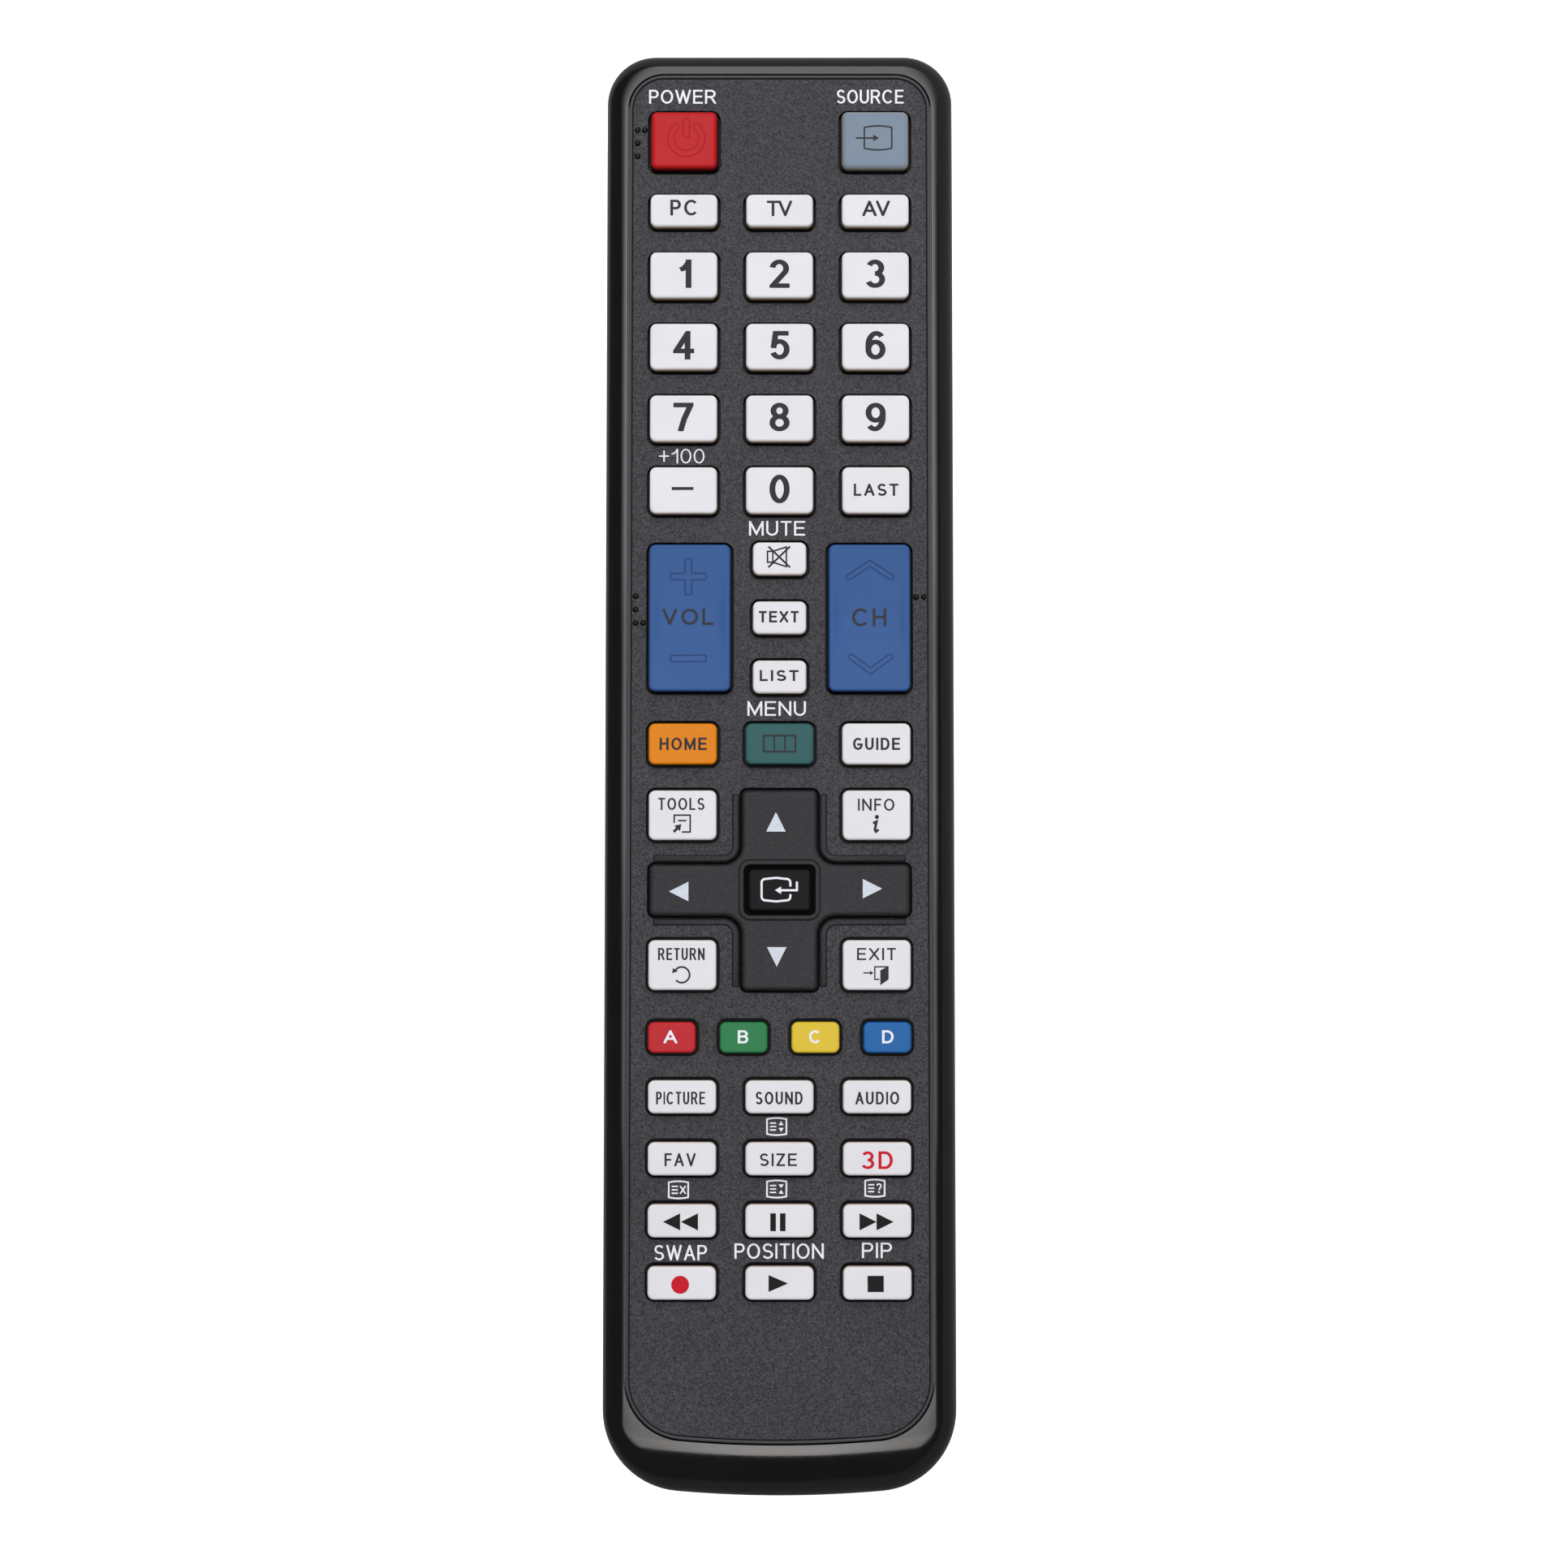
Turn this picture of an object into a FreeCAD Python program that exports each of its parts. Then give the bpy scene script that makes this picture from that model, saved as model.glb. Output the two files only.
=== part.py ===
import FreeCAD, Part

import math
import os

from FreeCAD import Vector

# A hand-held television remote control lying on its back, in millimetres.
# X runs across the keys, Y from the battery end to the signal end, Z up through the key face.
# The origin is on the table, under the middle of the case.

# Case: corners seen from above, the bow of its battery end, its wall,
# and what it adds beyond the outermost keys and the last row
head_corner = 6.7
tail_corner = 11.0
tail_bow = 160.0
case_wall = 1.8
side_margin = 5.3
tail_margin = 29.05

# Shoulder: the case rolls from its mouth, level with the key face, down to its upright side
shoulder_side = 3.05
shoulder_head = 3.25
shoulder_tail = 7.3
shoulder_drop = 3.2
mouth_head_corner = 5.0
mouth_tail_corner = 8.2

# Belly: the case rolls from its upright side under to the flat that it lies on
belly_side = 6.0
belly_head = 34.0
belly_tail = 6.0
belly_rise = 6.0
belly_head_corner = 8.0
belly_tail_corner = 9.0
shoulder_steps = 4
belly_steps = 3
cavity_steps = 2

# How far a cutter reaches past the face it cuts
past = 1.0

# Front panel, dropped into the mouth of the case onto a ledge
panel_thickness = 1.8
panel_seam = 0.2
ledge_width = 1.35
ledge_depth = 1.2
ridge_width = 0.4
ridge_rise = 0.1
ridge_groove = 0.15
ridge_groove_depth = 0.25
hook_length = 6.0
hook_leg = 0.55
hook_barb = 0.4
hook_depth = 1.7
hook_from_head = [30.0, 64.0, 108.0, 148.0]

# Circuit board and rubber mat under the keys
board_thickness = 1.0
board_clear = 0.3
board_corner_cut = 5.0
board_tail_clear = 1.2
board_above_bay = 0.5
mat_thickness = 0.6
mat_inset = 0.5
rib_width = 2.0
rib_overlap = 0.9
rib_from_head = [18.0, 50.0, 84.0, 120.0, 160.0]

# Keys: shared values. The corners of the small keys and their holes are cut at an angle,
# and those of the rockers and the enter key are round
key_rise = 1.4
key_corner_cut = 0.75
hole_corner_cut = 1.0
key_edge = 0.3
key_gap = 0.4
key_travel = 0.8
key_flange = 0.5
flange_thickness = 1.5
flange_clear = 0.1
stop_clear = 0.2

# Keys: sizes across and along
power_size = (9.2, 8.05)
name_size = (9.2, 4.5)
digit_size = (9.2, 6.4)
rocker_size = (11.1, 20.1)
centre_size = (7.3, 4.5)
menu_size = (9.3, 5.6)
tool_size = (9.2, 6.75)
colour_size = (6.5, 4.2)
function_size = (9.2, 4.45)

# Keys: columns, and the step down to each row, the first one from the signal end of the case
column_pitch = 13.15
power_step = 12.9
name_step = 9.85
digit_step = 9.0
digit_pitch = 9.93
rocker_step = 17.5
centre_pitch = 8.1
menu_step = 17.25
pad_step = 19.85
tool_offset = 10.15
colour_step = 19.9
function_step = 8.0
function_pitch = 8.3

# Rockers
rocker_corner = 1.15
rocker_tilt = 4.0
rocker_dish = 0.4
swing_clear = 0.15

# Direction pad: a cross with a ring in the middle that the enter key sits in
pad_half_height = 13.65
pad_arm_across = 5.2
pad_arm_along = 3.55
pad_gap = 0.25
pad_rise = 1.1
pad_edge = 0.5
pad_tip_radius = 0.8
pad_inner_radius = 2.45
pad_tilt = 2.2
pad_flange = 0.5
ring_size = (11.2, 8.35)
ring_corner = 1.6
ring_width = 0.72
ring_rise = 0.25
enter_gap = 0.45
enter_rise = 1.0
enter_flange = 0.6
enter_well_clear = 0.35
rail_gap = 0.15
rail_width = 0.75
rail_rise = 0.15
rail_setback = 0.9

# Rubber seat that the direction pad rocks on
seat_size = (14.4, 12.0)
seat_hole_clear = 0.45

# Signal window and emitter in the signal end
window_size = (20.0, 6.6)
window_height = 11.4
window_clear = 0.1
window_flange = 1.1
window_flange_depth = 1.2
emitter_radius = 1.5
emitter_length = 5.5
emitter_height = 11.4
emitter_window_gap = 0.5
emitter_nose = 0.7
lead_width = 0.5
lead_spacing = 1.4
lead_reach = 2.0

# Battery bay, cells and contacts
cell_diameter = 10.5
cell_length = 44.5
cell_nub_radius = 1.9
cell_nub_length = 0.9
cell_spacing = 0.8
cell_clear = 0.3
bay_wall = 1.2
bay_from_tail = 13.5
bay_rib_depth = 3.0
bay_rib_width = 0.5
contact_thickness = 0.4
contact_width = 8.4
contact_drop = 8.6
contact_seat = 0.05
tab_width = 2.4
tab_clear = 0.1
leaf_width = 5.0
leaf_thickness = 0.3
leaf_radius = 3.2

# Battery door, which slides off over the battery end on two tongues
door_half_width = 16.5
door_thickness = 1.6
door_clear = 0.2
door_past_bay = 8.0
door_floor = 1.4
tongue_width = 0.9
tongue_thickness = 0.7
tongue_setback = 1.5
tongue_from_tail = 9.0
latch_half_width = 4.0
latch_length = 2.0
lip_depth = 3.0
lip_height = 6.0
grip_count = 5
grip_pitch = 2.2
grip_width = 1.0
grip_depth = 0.4
grip_length = 14.0
grip_from_edge = 6.0

# Parts soldered under the board: across, along, deep, then place across and from the signal end
chip_size = (8.0, 18.0, 2.4)
chip_place = (-6.0, 40.0)
crystal_size = (11.0, 4.6, 3.4)
crystal_place = (8.0, 48.0)
resistor_size = (3.2, 1.6, 0.7)
resistor_count = 4
resistor_pitch = 3.4
resistor_place = (9.0, 30.0)
capacitor_radius = 2.5
capacitor_length = 7.5
capacitor_place = (-9.0, 22.0)

# Rows, as distances from the signal end
power_row = power_step
name_row = power_row + name_step
digit_row = name_row + digit_step
rocker_row = digit_row + 3 * digit_pitch + rocker_step
menu_row = rocker_row + menu_step
pad_row = menu_row + pad_step
colour_row = pad_row + colour_step
function_row = colour_row + function_step
last_row = function_row + 3 * function_pitch

# Outer edges: the rockers and the colour keys line up with the menu row, the pad with the digits
key_reach = column_pitch + menu_size[0] / 2
rocker_column = key_reach - rocker_size[0] / 2
colour_pitch = (key_reach - colour_size[0] / 2) / 1.5
pad_half_length = column_pitch + digit_size[0] / 2

# The case, sized round the keys
case_width = 2 * (key_reach + key_gap + key_flange + side_margin)
case_length = last_row + tail_margin
head_y = case_length / 2
tail_y = -case_length / 2

# Heights, stacked from the battery door up to the keys
cell_x = (cell_diameter + cell_spacing) / 2
cell_z = door_thickness + cell_clear + cell_diameter / 2
bay_top = cell_z + cell_diameter / 2 + cell_clear
board_height = bay_top + bay_wall + board_above_bay
board_top = board_height + board_thickness
mat_top = board_top + mat_thickness
flange_under = mat_top + stop_clear + key_travel
flange_top = flange_under + flange_thickness
panel_under = flange_top + flange_clear
ledge_under = panel_under - ledge_depth
face_height = panel_under + panel_thickness
key_top = face_height + key_rise

# The bay and the door along the case
bay_tail_y = tail_y + bay_from_tail
bay_length = cell_length + leaf_radius + 2 * contact_thickness + 3 * cell_clear
bay_head_y = bay_tail_y + bay_length
bay_half_width = cell_diameter + cell_spacing / 2 + cell_clear
door_head_y = bay_head_y + door_past_bay


def line(a, b):
    return Part.LineSegment(a, b).toShape()


def arc(a, b, c):
    return Part.Arc(a, b, c).toShape()


def box(x0, x1, y0, y1, z0, z1):
    """A box between two corners."""
    return Part.makeBox(x1 - x0, y1 - y0, z1 - z0, Vector(x0, y0, z0))


def extrude(wire, height):
    return Part.Face(wire).extrude(Vector(0, 0, height))


def rounded(points, radii, z):
    """A closed wire through corner points, each rounded by its own radius."""
    edges = []
    count = len(points)
    starts = []
    ends = []
    middles = []
    for i in range(count):
        p = Vector(points[i][0], points[i][1], z)
        before = Vector(points[i - 1][0], points[i - 1][1], z)
        after = Vector(points[(i + 1) % count][0], points[(i + 1) % count][1], z)
        back = (before - p).normalize()
        ahead = (after - p).normalize()
        half = back.getAngle(ahead) / 2
        reach = radii[i] / math.tan(half)
        starts.append(p + back * reach)
        ends.append(p + ahead * reach)
        middles.append(p + (back + ahead).normalize() * (radii[i] / math.sin(half) - radii[i]))
    for i in range(count):
        if radii[i] > 0:
            edges.append(arc(starts[i], middles[i], ends[i]))
        edges.append(line(ends[i], starts[(i + 1) % count]))
    return Part.Wire(edges)


def rounded_rect(x, y, size, radius, z):
    """A rounded rectangle centred on x, y."""
    a = size[0] / 2
    b = size[1] / 2
    points = [(x - a, y - b), (x + a, y - b), (x + a, y + b), (x - a, y + b)]
    return rounded(points, [radius] * 4, z)


def cut_rect(x, y, size, cut, z):
    """A rectangle centred on x, y with its corners cut at an angle."""
    a = size[0] / 2
    b = size[1] / 2
    corners = [
        (a, b - cut), (a - cut, b), (cut - a, b), (-a, b - cut),
        (-a, cut - b), (cut - a, -b), (a - cut, -b), (a, cut - b),
    ]
    points = [Vector(x + dx, y + dy, z) for dx, dy in corners]
    return Part.makePolygon(points + [points[0]])


def grown(size, by):
    return (size[0] + 2 * by, size[1] + 2 * by)


def case_outline(z, side, head, tail, head_radius, tail_radius):
    """The plan of the case, drawn in from each side by its own amount."""
    half = case_width / 2 - side
    top = head_y - head
    low = tail_y + tail
    bow = tail_bow - tail
    reach = bow - tail_radius
    corner_x = half - tail_radius
    corner_y = low + bow - math.sqrt(reach ** 2 - corner_x ** 2)
    touch_x = corner_x * bow / reach
    touch_y = low + bow - math.sqrt(bow ** 2 - touch_x ** 2)
    turn = math.atan2(touch_y - corner_y, touch_x - corner_x) / 2
    tail_mid_x = corner_x + tail_radius * math.cos(turn)
    tail_mid_y = corner_y + tail_radius * math.sin(turn)
    head_x = half - head_radius
    head_mid_x = head_x + head_radius * math.sqrt(0.5)
    head_mid_y = top - head_radius + head_radius * math.sqrt(0.5)

    def at(x, y):
        return Vector(x, y, z)

    return Part.Wire([
        line(at(-head_x, top), at(head_x, top)),
        arc(at(head_x, top), at(head_mid_x, head_mid_y), at(half, top - head_radius)),
        line(at(half, top - head_radius), at(half, corner_y)),
        arc(at(half, corner_y), at(tail_mid_x, tail_mid_y), at(touch_x, touch_y)),
        arc(at(touch_x, touch_y), at(0, low), at(-touch_x, touch_y)),
        arc(at(-touch_x, touch_y), at(-tail_mid_x, tail_mid_y), at(-half, corner_y)),
        line(at(-half, corner_y), at(-half, top - head_radius)),
        arc(at(-half, top - head_radius), at(-head_mid_x, head_mid_y), at(-head_x, top)),
    ])


def mouth_outline(z, inset):
    """The plan of the opening in the top of the case, drawn in evenly."""
    return case_outline(
        z,
        shoulder_side + inset,
        shoulder_head + inset,
        shoulder_tail + inset,
        mouth_head_corner - inset,
        mouth_tail_corner - inset,
    )


def rolled(level, height, narrow, wide, steps):
    """A rolled edge: plans that widen along a quarter ellipse away from the level face."""
    wires = []
    for step in range(steps + 1):
        angle = math.pi / 2 * step / steps
        share = math.sin(angle)
        z = level + height * (1 - math.cos(angle))
        plan = [n + (w - n) * share for n, w in zip(narrow, wide)]
        wires.append(case_outline(z, *plan))
    return Part.makeLoft(wires, True, True)


def case_hull():
    """The outer form of the closed case, as one solid."""
    wide = (0, 0, 0, head_corner, tail_corner)
    belly = (belly_side, belly_head, belly_tail, belly_head_corner, belly_tail_corner)
    shoulder = (shoulder_side, shoulder_head, shoulder_tail, mouth_head_corner, mouth_tail_corner)
    lower = rolled(0, belly_rise, belly, wide, belly_steps)
    upper = rolled(face_height, -shoulder_drop, shoulder, wide, shoulder_steps)
    side_height = face_height - shoulder_drop - belly_rise
    middle = extrude(case_outline(belly_rise, *wide), side_height)
    return middle.fuse([lower, upper]).removeSplitter()


def case_cavity():
    """The hollow inside the case, up to the ledge that carries the panel."""
    inner = (case_wall, case_wall, case_wall, head_corner - case_wall, tail_corner - case_wall)
    belly = (belly_side, belly_head, belly_tail, belly_head_corner, belly_tail_corner)
    lower = rolled(case_wall, belly_rise - case_wall, belly, inner, cavity_steps)
    upper = extrude(case_outline(belly_rise, *inner), ledge_under - belly_rise)
    ledge = extrude(mouth_outline(ledge_under, ledge_width), ledge_depth)
    pocket = extrude(mouth_outline(panel_under, 0), panel_thickness + past)
    return upper.fuse([lower, ledge, pocket])


def door_region(clear):
    """The space of the battery door: a plate, and a lip that wraps up round the end."""
    edge = door_half_width + clear
    low = tail_y - case_wall
    plate = box(-edge, edge, low, door_head_y + clear, -past, door_thickness + clear)
    lip = box(-edge, edge, low, tail_y + lip_depth + clear, -past, lip_height + clear)
    reach = edge + tongue_width
    tongue_low = door_thickness - tongue_thickness
    tongue_start = tail_y + tongue_from_tail if clear == 0 else low
    tongue_end = door_head_y - tongue_setback + clear
    tongues = box(-reach, reach, tongue_start, tongue_end, tongue_low - clear, door_thickness + clear)
    latch = box(-latch_half_width - clear, latch_half_width + clear, door_head_y - latch_length,
                door_head_y + latch_length + clear, tongue_low - clear, door_thickness + clear)
    return plate.fuse([lip, tongues, latch]).removeSplitter()


def rear_case(hull):
    """The tub: its wall and ledge, the board ribs, the battery bay and the door's recess."""
    shell = hull.cut(case_cavity())
    floor_top = door_thickness + door_clear + door_floor
    recess_half = door_half_width + door_clear + tongue_width + door_floor
    recess_head = door_head_y + latch_length + door_clear + door_floor
    lip_wall = tail_y + lip_depth + door_clear + door_floor
    added = [
        box(-recess_half, recess_half, tail_y, recess_head, 0, floor_top),
        box(-recess_half, recess_half, tail_y, lip_wall, 0, lip_height + door_clear + door_floor),
        box(-bay_half_width - bay_wall, bay_half_width + bay_wall, bay_tail_y - bay_wall,
            bay_head_y + bay_wall, 0, bay_top + bay_wall),
    ]
    rib_inner = case_width / 2 - shoulder_side - ledge_width - board_clear - rib_overlap
    rib_outer = case_width / 2 - case_wall / 2
    for distance in rib_from_head:
        y = head_y - distance
        for side in (-1, 1):
            across = sorted((side * rib_inner, side * rib_outer))
            added.append(box(across[0], across[1], y - rib_width / 2, y + rib_width / 2,
                             case_wall / 2, board_height))
    shell = shell.fuse([piece.common(hull) for piece in added])
    bay = box(-bay_half_width, bay_half_width, bay_tail_y, bay_head_y, -past, bay_top)
    rib = box(-bay_rib_width / 2, bay_rib_width / 2, bay_tail_y + cell_diameter,
              bay_head_y - cell_diameter, bay_top - bay_rib_depth, bay_top)
    shell = shell.cut([bay.cut(rib), door_region(door_clear)] + contact_slots() + [window_hole()])
    return shell.removeSplitter()


def battery_door(hull):
    """The sliding door, with its grip grooves."""
    door = hull.common(door_region(0))
    for i in range(grip_count):
        y = door_head_y - grip_from_edge - i * grip_pitch
        groove = box(-grip_length / 2, grip_length / 2, y - grip_width / 2, y + grip_width / 2,
                     -past, grip_depth)
        door = door.cut(groove)
    return door.removeSplitter()


def window_hole():
    half = window_size[0] / 2
    low = window_height - window_size[1] / 2
    high = window_height + window_size[1] / 2
    return box(-half, half, head_y - case_wall - past, head_y + past, low, high)


def ir_window(hull):
    """The dark window plug that fills the hole, with a flange behind the wall."""
    half = window_size[0] / 2 - window_clear
    low = window_height - window_size[1] / 2 + window_clear
    high = window_height + window_size[1] / 2 - window_clear
    wall_y = head_y - case_wall - window_clear
    plug = box(-half, half, wall_y, head_y + past, low, high).common(hull)
    flange = box(-half - window_flange, half + window_flange, wall_y - window_flange_depth, wall_y,
                 low - window_flange, high + window_flange)
    return plug.fuse(flange).removeSplitter()


def ir_emitter():
    """The emitter lamp behind the window, with two leads up to the board."""
    tip = head_y - case_wall - window_clear - window_flange_depth - emitter_window_gap
    back = tip - emitter_length
    body_end = tip - emitter_nose
    forward = Vector(0, 1, 0)
    lamp = Part.makeCylinder(emitter_radius, body_end - back, Vector(0, back, emitter_height), forward)
    nose = Part.makeCone(emitter_radius, emitter_radius - emitter_nose, emitter_nose,
                         Vector(0, body_end, emitter_height), forward)
    half = lead_width / 2
    leads = []
    for x in (-lead_spacing / 2, lead_spacing / 2):
        leads.append(box(x - half, x + half, back - lead_reach, back,
                         emitter_height - half, emitter_height + half))
        leads.append(box(x - half, x + half, back - lead_reach, back - lead_reach + lead_width,
                         emitter_height - half, board_height))
    return lamp.fuse([nose] + leads).removeSplitter()


def pad_outline(z, by, square=False):
    """The cross of the direction pad, grown by an even amount, with round or square corners."""
    y = head_y - pad_row
    far_x = pad_half_length + by
    far_y = pad_half_height + by
    near_x = pad_arm_across + by
    near_y = pad_arm_along + by
    tip = pad_tip_radius + by
    inner = pad_inner_radius - by
    points = [
        (far_x, y - near_y), (far_x, y + near_y), (near_x, y + near_y), (near_x, y + far_y),
        (-near_x, y + far_y), (-near_x, y + near_y), (-far_x, y + near_y), (-far_x, y - near_y),
        (-near_x, y - near_y), (-near_x, y - far_y), (near_x, y - far_y), (near_x, y - near_y),
    ]
    radii = [0] * 12 if square else [tip, tip, inner] * 4
    return rounded(points, radii, z)


def pad_rails():
    """Four raised tracks on the panel that follow the inner corners of the pad's hole."""
    y = head_y - pad_row
    near = pad_gap + rail_gap
    far = near + rail_width
    inner_x = pad_arm_across
    inner_y = pad_arm_along
    end_x = pad_half_length + pad_gap - rail_setback
    end_y = pad_half_height + pad_gap - rail_setback
    near_radius = pad_inner_radius - near
    far_radius = pad_inner_radius - far
    rails = []
    for side in (-1, 1):
        for up in (-1, 1):
            points = [
                (side * (inner_x + near), y + up * end_y),
                (side * (inner_x + near), y + up * (inner_y + near)),
                (side * end_x, y + up * (inner_y + near)),
                (side * end_x, y + up * (inner_y + far)),
                (side * (inner_x + far), y + up * (inner_y + far)),
                (side * (inner_x + far), y + up * end_y),
            ]
            radii = [0, near_radius, 0, 0, far_radius, 0]
            rails.append(extrude(rounded(points, radii, face_height), rail_rise))
    return rails


def key_layout():
    """Every plain key and rocker: its name, place across, distance from the signal end and size."""
    places = {}

    def row(names, pitch, distance, size):
        for i, name in enumerate(names):
            if name is not None:
                x = (i - (len(names) - 1) / 2) * pitch
                places[name] = (x, head_y - distance, size)

    row(["key_power", None, "key_source"], column_pitch, power_row, power_size)
    row(["key_pc", "key_tv", "key_av"], column_pitch, name_row, name_size)
    digits = [["key_1", "key_2", "key_3"], ["key_4", "key_5", "key_6"],
              ["key_7", "key_8", "key_9"], ["key_dash", "key_0", "key_last_channel"]]
    for i, names in enumerate(digits):
        row(names, column_pitch, digit_row + i * digit_pitch, digit_size)
    row(["volume_rocker", None, "channel_rocker"], rocker_column, rocker_row, rocker_size)
    for i, name in enumerate(["key_mute", "key_text", "key_channel_list"]):
        row([name], column_pitch, rocker_row + (i - 1) * centre_pitch, centre_size)
    row(["key_home", "key_menu", "key_guide"], column_pitch, menu_row, menu_size)
    row(["key_tools", None, "key_info"], column_pitch, pad_row - tool_offset, tool_size)
    row(["key_return", None, "key_exit"], column_pitch, pad_row + tool_offset, tool_size)
    row(["key_red", "key_green", "key_yellow", "key_blue"], colour_pitch, colour_row, colour_size)
    functions = [["key_picture_mode", "key_sound_mode", "key_audio"],
                 ["key_favourite", "key_picture_size", "key_3d"],
                 ["key_rewind", "key_pause", "key_forward"],
                 ["key_record", "key_play", "key_stop"]]
    for i, names in enumerate(functions):
        row(names, column_pitch, function_row + i * function_pitch, function_size)
    return places


def level_edges(shape, z):
    """The edges of a solid that lie flat at one height."""
    tiny = 1e-4
    return [e for e in shape.Edges if abs(e.BoundBox.ZMin - z) < tiny and abs(e.BoundBox.ZMax - z) < tiny]


def plain_key(x, y, size):
    """A key with softened upper edges, and a flange that holds it under the panel."""
    cap = extrude(cut_rect(x, y, size, key_corner_cut, flange_under), key_top - flange_under)
    cap = cap.makeChamfer(key_edge, level_edges(cap, key_top))
    base = grown(size, key_gap + key_flange)
    flange = box(x - base[0] / 2, x + base[0] / 2, y - base[1] / 2, y + base[1] / 2,
                 flange_under, flange_top)
    return cap.fuse(flange).removeSplitter()


def rocker_key(x, y, size):
    """A long key that rocks about its middle, with a shallow dish along its top."""
    base = grown(size, key_gap + key_flange)
    swing = base[1] / 2 * math.sin(math.radians(rocker_tilt)) + swing_clear
    low = mat_top + swing
    cap = extrude(rounded_rect(x, y, size, rocker_corner, low), key_top - low)
    cap = cap.makeChamfer(key_edge, level_edges(cap, key_top))
    half = size[1] / 2 - key_edge
    radius = (half ** 2 + rocker_dish ** 2) / (2 * rocker_dish)
    axis_start = Vector(x - size[0] / 2, y, key_top + radius - rocker_dish)
    dish = Part.makeCylinder(radius, size[0], axis_start, Vector(1, 0, 0))
    flange = box(x - base[0] / 2, x + base[0] / 2, y - base[1] / 2, y + base[1] / 2,
                 low, panel_under - swing)
    return cap.cut(dish).fuse(flange).removeSplitter()


def pad_swing():
    """How far a corner of the pad's flange moves up or down when both tilts add up."""
    out_x = pad_half_length + pad_gap + pad_flange
    out_y = pad_arm_along + pad_gap + pad_flange
    return (out_x + out_y) * math.sin(math.radians(pad_tilt)) + swing_clear


def enter_size():
    opening = grown(ring_size, -ring_width)
    return grown(opening, -enter_gap)


def enter_base():
    return grown(enter_size(), enter_flange)


def dpad_cross():
    """The four-way rocker: a cross, its ring, and the well that the enter key moves in."""
    y = head_y - pad_row
    low = mat_top + pad_swing()
    top = face_height + pad_rise
    body = extrude(pad_outline(low, 0), top - low)
    body = body.makeChamfer(pad_edge, level_edges(body, top))
    flange = extrude(pad_outline(low, pad_gap + pad_flange, True), panel_under - pad_swing() - low)
    ring = extrude(rounded_rect(0, y, ring_size, ring_corner, top - pad_edge), pad_edge + ring_rise)
    opening_size = grown(ring_size, -ring_width)
    opening = extrude(rounded_rect(0, y, opening_size, ring_corner - ring_width, low), key_top)
    well_size = grown(enter_base(), enter_well_clear)
    lift = (well_size[0] + well_size[1]) / 2 * math.sin(math.radians(pad_tilt)) + swing_clear
    well = box(-well_size[0] / 2, well_size[0] / 2, y - well_size[1] / 2, y + well_size[1] / 2,
               low - past, flange_top - flange_clear + lift)
    return body.fuse([flange, ring]).cut([opening, well]).removeSplitter()


def enter_key():
    """The key in the middle of the pad."""
    y = head_y - pad_row
    size = enter_size()
    corner = ring_corner - ring_width
    top = face_height + enter_rise
    cap = extrude(rounded_rect(0, y, size, corner, flange_under), top - flange_under)
    cap = cap.makeChamfer(key_edge, level_edges(cap, top))
    base = enter_base()
    flange = box(-base[0] / 2, base[0] / 2, y - base[1] / 2, y + base[1] / 2,
                 flange_under, flange_top - flange_clear)
    return cap.fuse(flange).removeSplitter()


def seat_hole():
    return grown(enter_base(), seat_hole_clear)


def dpad_seat():
    """The rubber ring under the pad, round the enter key."""
    y = head_y - pad_row
    slope = math.sin(math.radians(pad_tilt))
    low = board_top + seat_size[1] / 2 * slope + swing_clear
    high = mat_top + pad_swing() - seat_size[0] / 2 * slope - swing_clear
    hole = seat_hole()
    half_x = seat_size[0] / 2
    half_y = seat_size[1] / 2
    ring = box(-half_x, half_x, y - half_y, y + half_y, low, high)
    return ring.cut(box(-hole[0] / 2, hole[0] / 2, y - hole[1] / 2, y + hole[1] / 2, low, high))


def front_panel(places):
    """The face plate: its ridge, groove, key holes, pad rails and snap hooks."""
    plate = extrude(mouth_outline(panel_under, panel_seam), panel_thickness + ridge_rise)
    inside = panel_seam + ridge_width
    plate = plate.cut(extrude(mouth_outline(face_height, inside), past))
    groove_floor = face_height - ridge_groove_depth
    groove = extrude(mouth_outline(groove_floor, inside), past)
    groove = groove.cut(extrude(mouth_outline(groove_floor, inside + ridge_groove), past))
    holes = [groove]
    low = panel_under - past
    height = panel_thickness + 2 * past
    for x, y, size in places.values():
        hole_size = grown(size, key_gap)
        if size == rocker_size:
            wire = rounded_rect(x, y, hole_size, rocker_corner + key_gap, low)
        else:
            wire = cut_rect(x, y, hole_size, hole_corner_cut, low)
        holes.append(extrude(wire, height))
    holes.append(extrude(pad_outline(low, pad_gap), height))
    plate = plate.cut(holes)
    return plate.fuse(pad_rails() + snap_hooks()).removeSplitter()


def snap_hooks():
    """Hooks along both sides of the panel that catch under the ledge of the case."""
    inner_edge = case_width / 2 - shoulder_side - ledge_width
    leg_outer = inner_edge - panel_seam
    low = panel_under - hook_depth
    barb_top = ledge_under - flange_clear
    hooks = []
    for distance in hook_from_head:
        y = head_y - distance
        for side in (-1, 1):
            leg = sorted((side * (leg_outer - hook_leg), side * leg_outer))
            barb = sorted((side * leg_outer, side * (leg_outer + hook_barb)))
            hooks.append(box(leg[0], leg[1], y - hook_length / 2, y + hook_length / 2, low, panel_under))
            hooks.append(box(barb[0], barb[1], y - hook_length / 2, y + hook_length / 2, low, barb_top))
    return hooks


def board_outline(z, inset):
    """A plate with cut corners that drops in past the ledge of the case."""
    margin = ledge_width + board_clear + inset
    half = case_width / 2 - shoulder_side - margin
    top = head_y - shoulder_head - margin
    low = tail_y + shoulder_tail + margin + board_tail_clear
    return cut_rect(0, (top + low) / 2, (2 * half, top - low), board_corner_cut, z)


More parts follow.
